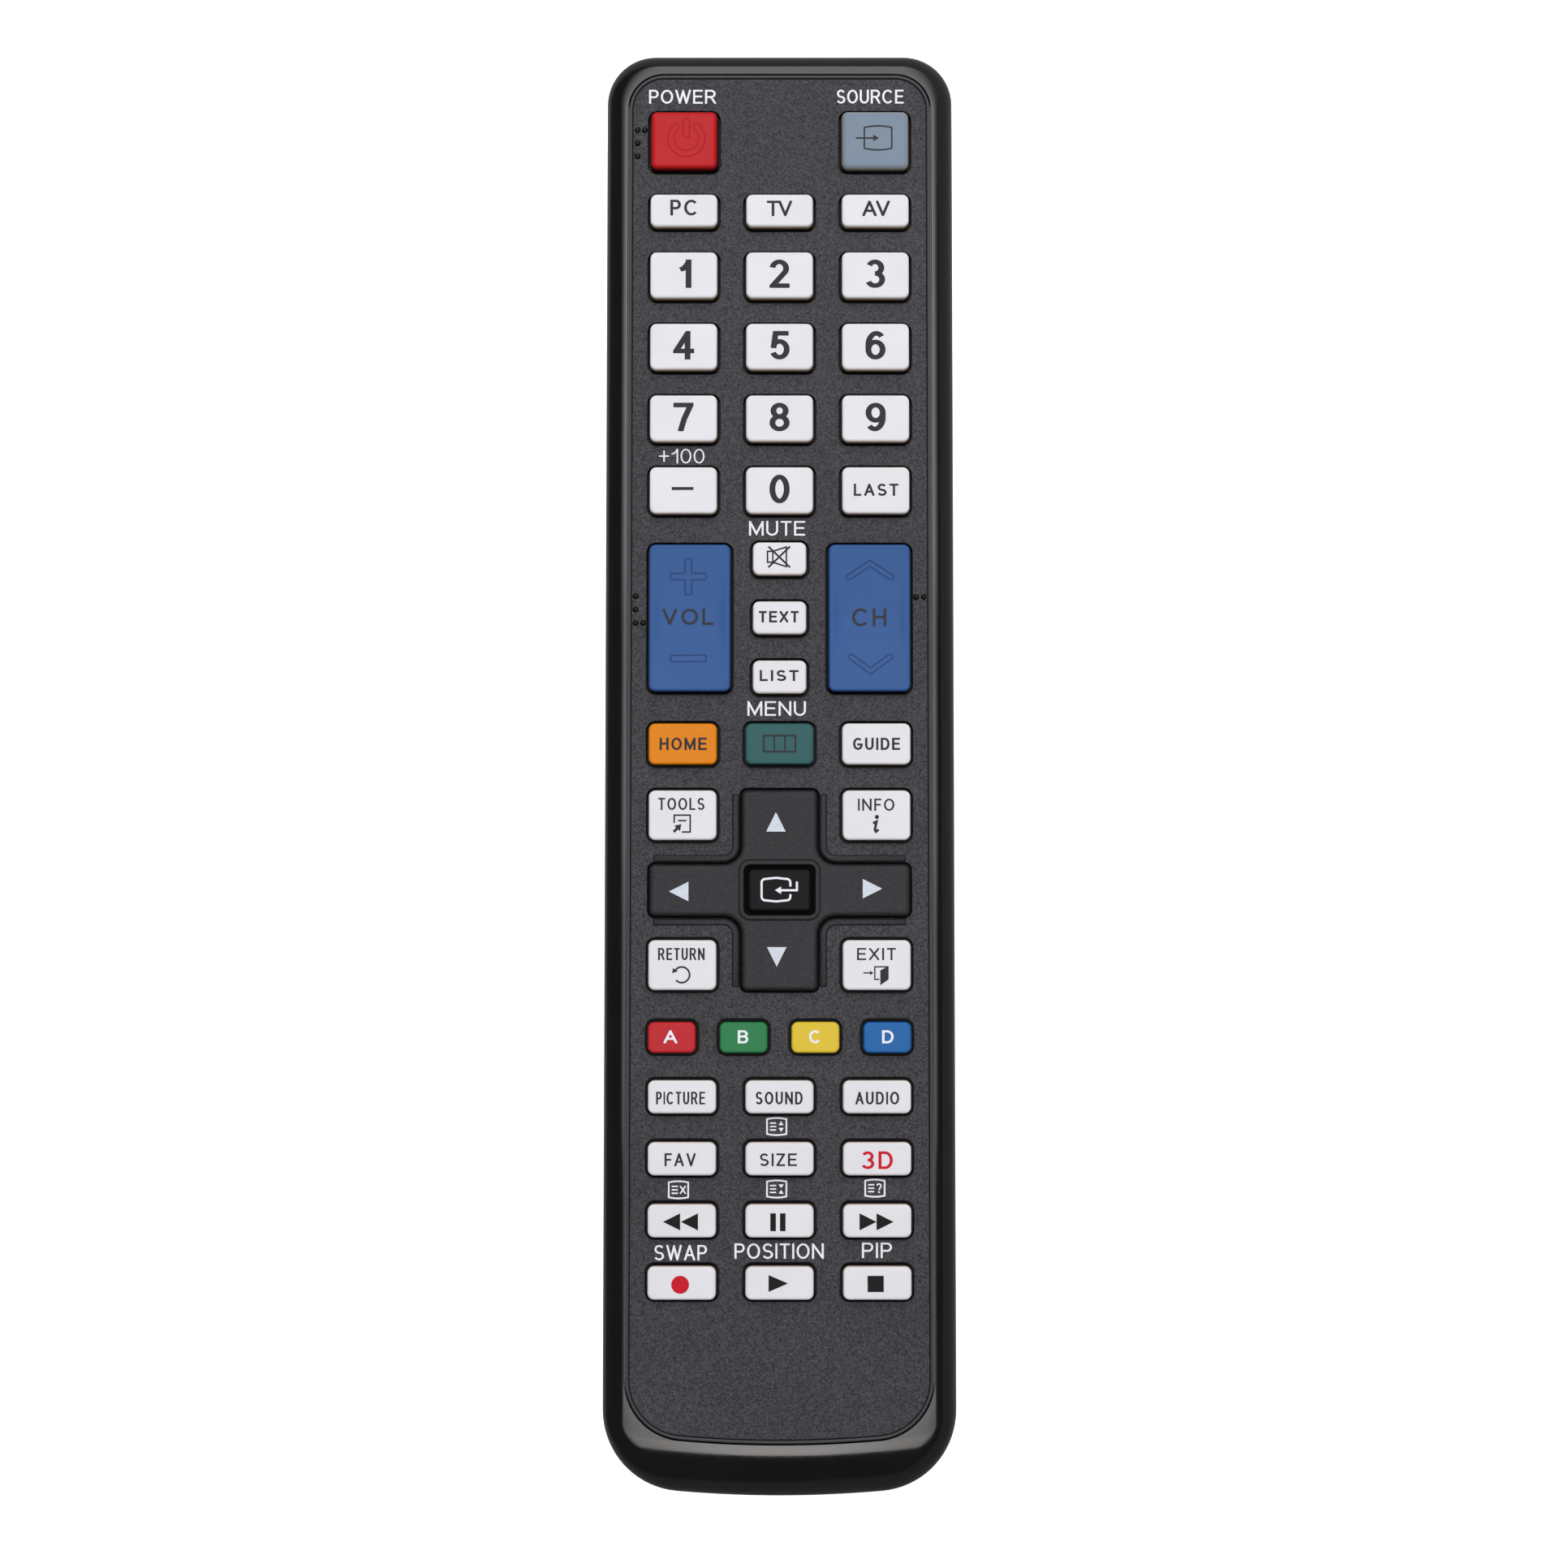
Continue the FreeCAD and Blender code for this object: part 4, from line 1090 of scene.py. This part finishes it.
KEY_LETTERS = {
    "red": ("A", -14.73, -36.95, 1.85, 1.75, 0.33, "white"),
    "green": ("B", -4.93, -36.95, 1.42, 1.75, 0.33, "white"),
    "yellow": ("C", 4.77, -36.95, 1.58, 1.75, 0.33, "white"),
    "blue": ("D", 14.63, -36.95, 1.56, 1.75, 0.33, "white"),
    "3d": ("3D", 13.14, -53.5, 4.25, 2.38, 0.42, "red"),
}
PANEL_WORDS = {
    "power": ("POWER", -13.43, 92.54, 9.25, 1.94, 0.28),
    "source": ("SOURCE", 12.52, 92.56, 9.25, 1.94, 0.28),
    "plus_hundred": ("+100", -13.43, 42.39, 6.24, 2.02, 0.2),
    "mute": ("MUTE", -0.34, 32.41, 7.68, 2.02, 0.28),
    "menu": ("MENU", -0.39, 7.63, 7.98, 2.0, 0.28),
    "swap": ("SWAP", -13.35, -66.02, 7.12, 2.06, 0.28),
    "position": ("POSITION", -0.05, -65.81, 12.05, 2.06, 0.28),
    "pip": ("PIP", 13.15, -65.7, 4.05, 2.06, 0.28),
}


def build_key_words(words):
    """Words and letters, each on the key that it is listed under."""
    for key, (text, x, y, width, height, weight, *colour) in words.items():
        gap = -0.04 if text in ("TV", "AV") else 0.2
        on_key(Mark().word(text, x, y, width, height, weight, gap), key, *colour)


def build_figures(places):
    """The figures on the ten number keys."""
    for figure in "1234567890":
        x, y, _ = places["key_" + figure]
        width = {"1": 1.95, "4": 2.88}.get(figure, 2.76)
        shift = 0.08 if figure == "1" else 0.0
        on_key(Mark().word(figure, x + shift, y + 0.15, width, 3.95, 0.8, contrast=1.26), figure)


def build_panel_words():
    """The words on the face plate."""
    for name, (text, x, y, width, height, weight) in PANEL_WORDS.items():
        mark = Mark().word(text, x, y, width, height, weight, 0.15)
        printed(mark, "panel_" + name, "white", "remote", FACE_Z)


def build_playback():
    """The dash and the symbols of the six playback keys."""
    on_key(Mark().stroke([(-14.74, 37.67), (-11.76, 37.67)], 0.42), "dash")
    back, ahead, bars = Mark(), Mark(), Mark()
    for x in (-15.66, -13.26):
        back.at(x, -61.74).fill([(0, 0), (2.3, 1.14), (2.3, -1.14)])
    for x in (10.76, 13.05):
        ahead.at(x, -61.74).fill([(0, 1.14), (2.29, 0), (0, -1.14)])
    for x in (-0.86, 0.44):
        bars.at(x, -61.79).stroke([(0, 1.19), (0, -1.19)], 0.75)
    on_key(back, "rewind", "deep")
    on_key(ahead, "forward", "deep")
    on_key(bars, "pause", "deep")
    on_key(Mark().disc(-13.34, -70.12, 1.2, 40), "record", "red")
    on_key(Mark().fill([(-1.47, -68.82), (1.15, -69.95), (-1.47, -71.08)]), "play", "deep")
    on_key(Mark().stroke([(12.92, -68.93), (12.92, -71.09)], 2.18), "stop", "deep")


def screen_plan(drop, radius, half_angle, steps):
    """A screen whose top and bottom are arcs about points that far below and above its middle."""
    upper = bend(0, -drop, radius, radius, 90 + half_angle, 90 - half_angle, steps)
    lower = bend(0, drop, radius, radius, half_angle - 90, -half_angle - 90, steps)
    return upper + lower


def build_symbols(places):
    """The symbols on the keys, each drawn about its own middle."""
    mark = Mark(-0.17, 28.28)
    mark.stroke([(-1.47, -0.75), (-1.47, 0.75), (-0.75, 0.75), (1.1, 1.35), (1.1, -1.35), (-0.75, -0.75)],
                0.22, True)
    mark.stroke([(-0.75, 0.75), (-0.75, -0.75)], 0.22)
    mark.stroke([(-1.36, 1.42), (1.6, -1.45)], 0.26)
    mark.stroke([(-1.36, -1.45), (1.6, 1.42)], 0.26)
    on_key(mark, "mute")

    mark = Mark(0, 2.73).stroke([(-2.15, 1.09), (2.15, 1.09), (2.15, -1.09), (-2.15, -1.09)], 0.26, True)
    for x in (-0.72, 0.72):
        mark.stroke([(x, 1.09), (x, -1.09)], 0.22)
    on_key(mark, "menu")

    mark = Mark(-13.24, -8.16)
    mark.stroke([(0.0, -1.12), (1.12, -1.12), (1.12, 1.16), (-1.04, 1.16), (-1.04, 0.1)], 0.22)
    mark.stroke([(-0.54, 0.42), (0.62, 0.42)], 0.22)
    mark.stroke([(-1.12, -1.12), (-0.5, -0.5)], 0.38)
    mark.fill([(-0.06, -0.06), (-1.04, -0.26), (-0.26, -1.04)])
    on_key(mark, "tools")

    mark = Mark(13.09, -8.25).disc(0.12, 1.0, 0.29)
    mark.stroke([(-0.4, 0.15), (0.06, 0.36), (-0.16, -0.72), (-0.02, -0.98), (0.34, -0.7)], 0.36)
    on_key(mark, "info")

    mark = Mark(-13.22, -28.6).stroke(bend(0, 0, 1.06, 1.06, 150, -138, 26), 0.24)
    mark.fill([(-1.28, 0.18), (-1.2, 0.9), (-0.5, 0.5)])
    on_key(mark, "return")

    mark = Mark(13.0, -28.72).stroke([(-1.66, 0.37), (-0.6, 0.37)], 0.18)
    mark.fill([(-0.28, 0.37), (-0.76, 0.66), (-0.76, 0.08)])
    mark.stroke([(0.5, -0.5), (-0.12, -0.5), (-0.12, 1.2), (1.66, 1.2), (1.66, -0.4)], 0.18)
    mark.fill([(1.74, 1.29), (1.74, -0.5), (0.62, -1.3), (0.62, 0.72)])
    on_key(mark, "exit")

    def cap(at, start):
        """The round end of the open ring, at an angle."""
        a = math.radians(at)
        return bend(2.125 * math.cos(a), 2.125 * math.sin(a), 0.435, 0.435, start, start + 180, 10)[1:-1]

    x, y, _ = places["key_power"]
    outer = bend(0, 0, 2.56, 2.56, 131, 409, 44)
    inner = bend(0, 0, 1.69, 1.69, 409, 131, 36)
    # The power symbol is moulded in relief: these lines round its ring and bar are painted shade at the
    # relief's edges, darker than the key's red.
    mark = Mark(x + 0.31, y + 0.2).stroke(outer + cap(49, 49) + inner + cap(131, 311), 0.14, True)
    mark.stroke(rect_plan(-0.02, 1.4, (0.88, 2.75), 0.42), 0.14, True)
    on_key(mark, "power", "power_relief_shade")

    mark = Mark(13.56, 86.34).stroke(screen_plan(5.9, 7.58, 14.4, 10), 0.22, True)
    mark.stroke([(-3.07, -0.02), (-0.6, -0.02)], 0.22)
    mark.fill([(-0.67, 0.44), (-0.67, -0.48), (0.12, -0.02)])
    on_key(mark, "source", "grey")


def build_rocker_marks(places):
    """The words on the rockers, and their moulded symbols, shown only by fine lines of painted shade round
    each shape.
    """
    def on_rocker(mark, key, kind, colour="rocker_relief_shade"):
        printed(mark, "mark_" + key + "_" + kind, colour, key, KEY_TOP, places[key][1])

    on_rocker(Mark().word("VOL", -12.5, 20.1, 6.97, 2.22, 0.38), "volume_rocker", "word", "brown")
    on_rocker(Mark().word("CH", 12.24, 20.02, 4.68, 2.45, 0.38), "channel_rocker", "word", "brown")
    corners = []
    for c, s in ((1, 0), (0, 1), (-1, 0), (0, -1)):
        for px, py in ((2.44, -0.44), (2.44, 0.44), (0.44, 0.44)):
            corners.append((px * c - py * s, px * s + py * c))
    plus = rounded(corners, [0.22, 0.22, 0.1] * 4, 4)
    on_rocker(Mark(-12.45, 25.61).stroke(plus, 0.17, True), "volume_rocker", "plus")
    minus = rect_plan(0, 0, (4.86, 0.89), 0.25)
    on_rocker(Mark(-12.43, 14.38).stroke(minus, 0.17, True), "volume_rocker", "minus")
    thick = 0.35
    for kind, x, y, half, drop, up in (("up", 12.34, 26.45, 2.9, 1.9, 1),
                                       ("down", 12.4, 13.63, 2.65, 1.95, -1)):
        outline = []
        for side in (-1, 1):
            turn = math.degrees(math.atan2(-up * drop, side * half))
            outline += bend(side * half, -up * drop / 2, thick, thick, turn - 90, turn + 90, 8)
            outline.append((0, up * drop / 2 + side * thick * math.hypot(half, drop) / half))
        on_rocker(Mark(x, y).stroke(outline, 0.17, True), "channel_rocker", kind)


def build_pad_marks():
    """The four arrows on the pad and the symbol on the enter key."""
    mark = Mark()
    half = 1.32
    for x, y, dx, dy in ((-0.49, -7.9, 0, half), (-13.67, -17.34, -half, 0),
                         (-0.38, -26.19, 0, -half), (12.6, -16.96, half, 0)):
        mark.at(x, y).fill([(dx, dy), (-dx - dy, dx - dy), (dy - dx, -dx - dy)])
    printed(mark, "mark_pad", "silver", "pad", PAD_TOP)
    line = [(1.94, 0.42)] + bend(1.44, 0.95, 0.5, 0.5, 0, 78, 5) + [(0, 1.6)]
    line += bend(-1.46, 0.95, 0.5, 0.5, 102, 180, 5) + bend(-1.46, -0.95, 0.5, 0.5, 180, 258, 5)
    line += [(0, -1.6)] + bend(1.44, -0.95, 0.5, 0.5, 282, 360, 5) + [(1.94, -0.62)]
    mark = Mark(-0.47, -17.09).stroke(line, 0.29)
    mark.stroke([(2.83, 1.08), (2.83, -0.08), (0.4, -0.08)], 0.29)
    mark.fill([(-0.16, -0.08), (0.68, 0.42), (0.68, -0.58)])
    printed(mark, "mark_enter", "white", "key_enter", ENTER_TOP)


def build_page_symbols():
    """The four text page symbols on the face plate."""
    mark = Mark()
    spots = {"leaf": (-0.38, -49.1), "cross": (-13.65, -57.6), "hold": (-0.38, -57.49),
             "ask": (12.89, -57.38)}
    for kind, spot in spots.items():
        mark.at(*spot).stroke(screen_plan(4.6, 5.75, 13.2, 6), 0.22, True)
        for level in (0.46, 0.0, -0.46):
            mark.stroke([(-0.92, level), (-0.08, level)], 0.19)
        if kind == "cross":
            mark.stroke([(0.22, 0.52), (0.96, -0.52)], 0.19)
            mark.stroke([(0.22, -0.52), (0.96, 0.52)], 0.19)
        elif kind == "ask":
            mark.stroke(bend(0.55, 0.3, 0.28, 0.28, 170, -60, 8) + [(0.55, -0.24)], 0.19)
            mark.disc(0.55, -0.52, 0.13, 10)
        else:
            tip, base = (0.72, 0.18) if kind == "leaf" else (0.12, 0.62)
            for up in (1, -1):
                mark.fill([(0.6, up * tip), (0.26, up * base), (0.94, up * base)])
    printed(mark, "panel_symbols", "white", "remote", FACE_Z)


# Inner parts: the cells are built here, and the other solids stay as they are and get their finish

CELL_RADIUS = 5.25
CELL_LENGTH = 43.6
CELL_Z = 7.15
CELL_SEAT = 3.95
CELL_PRINT = (5.2, 5.3)
# Marks on the cells: the width of their strokes, and each stroke across and along from the flat end
CELL_MARKS = {
    "plus": (0.7, [[(-1.6, 36.8), (1.6, 36.8)], [(0, 35.2), (0, 38.4)]]),
    "minus": (0.7, [[(-1.6, 4.5), (1.6, 4.5)]]),
    "lines": (0.5, [[(-5.5, y), (5.5, y)] for y in (18.0, 20.4, 22.8)]),
}


def turned(x, flat, way, profile, hollow):
    """A form turned about a cell's middle line, from (distance from its flat end, radius) pairs."""
    rings = [(bend(x, CELL_Z, radius, radius, 0, 352.5, 47), along) for along, radius in profile]
    form = Form().looped(rings) if hollow else Form().closed(rings)
    # It was built upright, and is laid down along the case here
    form.points = [(px, flat + way * along, pz) for px, pz, along in form.points]
    return form


def wrapped(name, x, flat, way, width, lines):
    """A mark bent round a cell: across becomes a turn, and the height becomes the radius."""
    mark = Mark()
    for line in lines:
        mark.stroke(line, width)
    # Each side is cut in eight, so that it can follow the bend
    mark.shapes = [[(a[0] + (b[0] - a[0]) * k / 8, a[1] + (b[1] - a[1]) * k / 8)
                    for a, b in zip(shape, shape[1:] + shape[:1]) for k in range(8)]
                   for shape in mark.shapes]
    mesh = mark.mesh(name, *CELL_PRINT)
    for vertex in mesh.vertices:
        u, v, radius = (c / MM for c in vertex.co)
        turn = u / CELL_RADIUS - math.pi / 2
        vertex.co = (MM * (x + radius * math.cos(turn)), MM * (flat + way * v),
                     MM * (CELL_Z + radius * math.sin(turn)))
    tidy_mesh(mesh, 20)
    return mesh


def build_cells():
    """Two cells with steel ends, a wrapped jacket, a pale band and their polarity marks."""
    steel = metal("cell_steel", (206, 206, 202), 0.22)
    jacket = grained("cell_wrap", (38, 52, 84), 0.08, 900, 0.006, 0.28)
    band = grained("cell_band", (186, 188, 190), 0.06, 900, 0.006, 0.3)
    pale = ink("cell_print", (226, 228, 230), 0.4)
    dark = ink("cell_dark", (28, 30, 38), 0.4)
    end = CELL_LENGTH
    core_profile = [(0.14, 4.3), (0.2, 4.6), (end - 0.2, 4.6), (end - 0.14, 4.4), (end - 0.1, 2.3),
                    (end, 1.9), (end + 0.75, 1.9), (end + 0.9, 1.7)]
    half_jacket = [(0.06, 4.62), (0.0, 4.8), (0.05, 5.05), (0.3, CELL_RADIUS)]
    jacket_profile = half_jacket + [(end - along, radius) for along, radius in reversed(half_jacket)]
    band_profile = [(31.0, 5.2), (31.0, 5.27), (42.6, 5.27), (42.6, 5.2)]
    for side, x, flat, way in (("left", -CELL_X, BAY_TAIL + CELL_SEAT, 1),
                               ("right", CELL_X, BAY_HEAD - CELL_SEAT, -1)):
        for kind, profile, paint, slot in (("core", core_profile, steel, None),
                                           ("jacket", jacket_profile, jacket, "cell_jacket"),
                                           ("band", band_profile, band, "cell_jacket")):
            name = "cell_" + kind + "_" + side
            nodes = ["battery_cells"] if name == "cell_core_left" else ()
            form = turned(x, flat, way, profile, kind != "core")
            piece(name, form.mesh(name), paint, "remote", slot, nodes)
        for kind, strokes in CELL_MARKS.items():
            name = "cell_" + kind + "_" + side
            paint = dark if kind == "plus" else pale
            piece(name, wrapped(name, x, flat, way, *strokes), paint, "remote")


def dress_inside():
    """Gives the inner solids that stay as they are their materials."""
    steel = metal("contact_metal", (200, 200, 198))
    paints = {
        "circuit_board": grained("board_green", (26, 84, 52), 0.12, 900, 0.02, 0.4),
        "keypad_mat": grained("mat_grey", (96, 96, 98), 0.08, 1500, 0.02, 0.7),
        "board_components": grained("component_black", (30, 30, 32), 0.12, 1600, 0.02, 0.5),
        "dpad_seat": grained("seat_rubber", (44, 44, 46), 0.1, 1500, 0.02, 0.7),
        "battery_contacts": steel,
        "battery_springs": steel,
        "ir_window": gloss("window_dark", (16, 6, 12), 0.06),
        "ir_emitter": gloss("emitter_clear", (150, 158, 186), 0.12),
    }
    for name, paint in paints.items():
        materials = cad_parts[name].data.materials
        materials.clear()
        materials.append(paint)


# Room: the floor is in millimetres too, and the lamps and the camera are in metres

FLOOR_HALF = 1500.0
FLOOR_DEPTH = 4.0
LAMP_HEIGHT = 0.9
FILL_HEIGHT = 1.6
FILL_LEVEL = 0.58
CAMERA_PLACE = (0.000608, -0.022256, 0.3704)
CAMERA_TILT = 3.2
CAMERA_LENS = 59.052


def link(name, data, place=(0, 0, 0)):
    obj = bpy.data.objects.new(name, data)
    obj.location = place
    bpy.context.scene.collection.objects.link(obj)
    return obj


def build_floor():
    floor = link("floor", box_mesh(-FLOOR_HALF, FLOOR_HALF, -FLOOR_HALF, FLOOR_HALF, -FLOOR_DEPTH, 0.0))
    material, where = blank("floor_white")
    tone = ramp(noise(where, 30), [(0.3, (0.93, 0.93, 0.93)), (0.7, (0.95, 0.95, 0.95))])
    set_shader(material, Base_Color=tone, Roughness=0.9, Specular_IOR_Level=0.1,
               Emission_Color=(1.0, 1.0, 1.0), Emission_Strength=0.7)
    floor.data.materials.append(material)
    floor.visible_glossy = False


def lamp(name, place, size, level, colour=(1.0, 1.0, 1.0)):
    light = bpy.data.lights.new(name, "AREA")
    light.shape = "RECTANGLE"
    light.size, light.size_y = size
    light.energy = level * math.pi * size[0] * size[1]
    light.color = colour
    return link(name, light, place)


def fade(light):
    """Lets a lamp fall off softly from its middle line to its left and right edges."""
    light.use_nodes = True
    tree = light.node_tree
    spot = tree.nodes.new("ShaderNodeNewGeometry").outputs["Parametric"]
    across = add("SeparateXYZ", Vector=spot).outputs["X"]
    left = [(0.0, 0.04), (0.09, 0.12), (0.17, 0.28), (0.25, 0.5), (0.33, 0.74), (0.42, 1.0)]
    stops = left + [(1 - at, value) for at, value in reversed(left)]
    level = ramp(across, [(at, (value, value, value)) for at, value in stops])
    connect(level, tree.nodes["Emission"].inputs["Strength"])


def build_lights():
    """One large soft panel, narrower at the battery end, in strips of their own brightness."""
    strips = [(-0.43, -0.28, 0.17, 6.4), (-0.28, -0.13, 0.2, 4.4), (-0.13, 0.0, 0.45, 3.1),
              (0.0, 0.15, 0.55, 3.9), (0.15, 0.4, 0.65, 4.8), (0.4, 1.48, 0.8, 3.0)]
    for i, (y0, y1, half, level) in enumerate(strips):
        tint = (1.0, 0.97, 0.94) if i == 0 else (1.0, 1.0, 1.0)
        fade(lamp("soft_" + str(i), (0, (y0 + y1) / 2, LAMP_HEIGHT), (2 * half, y1 - y0), level, tint).data)
    lamp("fill", (0, 0.1, FILL_HEIGHT), (2.0, 2.0), FILL_LEVEL).visible_glossy = False


def build_world():
    """Dim overhead and to the left; lighter low down to the right and beyond either end."""
    world = bpy.data.worlds.new("studio")
    bpy.context.scene.world = world
    world.use_nodes = True
    tree = world.node_tree
    direction = tree.nodes.new("ShaderNodeTexCoord").outputs["Generated"]
    way = add("SeparateXYZ", Vector=direction).outputs

    def maths(how, first, second):
        node = tree.nodes.new("ShaderNodeMath")
        node.operation = how
        connect(first, node.inputs[0])
        connect(second, node.inputs[1])
        return node.outputs["Value"]

    east = maths("MULTIPLY", way["X"], -0.74)
    ends = maths("MULTIPLY", maths("ABSOLUTE", way["Y"], 0.0), -0.55)
    aside = maths("ADD", maths("ADD", east, ends), way["Z"])
    lit = spread(aside, 1.0, 0.0, 0.02, 0.14)
    bright = spread(way["Y"], 0.24, 0.4, -0.5, 0.5)
    level = maths("ADD", maths("MULTIPLY", lit, maths("SUBTRACT", bright, 0.1)), 0.1)
    connect(level, tree.nodes["Background"].inputs["Color"])


def build_camera():
    camera = bpy.data.cameras.new("camera")
    camera.sensor_width = 36
    camera.lens = CAMERA_LENS
    camera.clip_start = 0.01
    obj = link("camera", camera, CAMERA_PLACE)
    obj.rotation_euler = (math.radians(CAMERA_TILT), 0, 0)
    bpy.context.scene.camera = obj
    bpy.context.scene.view_settings.view_transform = "Standard"


PLACES = key_places()
build_case()
build_panel(PLACES)
for key_name, place in PLACES.items():
    build_key(key_name, *place)
build_pad()
build_key_words(KEY_WORDS)
build_figures(PLACES)
build_key_words(KEY_LETTERS)
build_playback()
build_symbols(PLACES)
build_rocker_marks(PLACES)
build_pad_marks()
build_panel_words()
build_page_symbols()
dress_inside()
build_cells()
build_floor()
build_lights()
build_world()
build_camera()
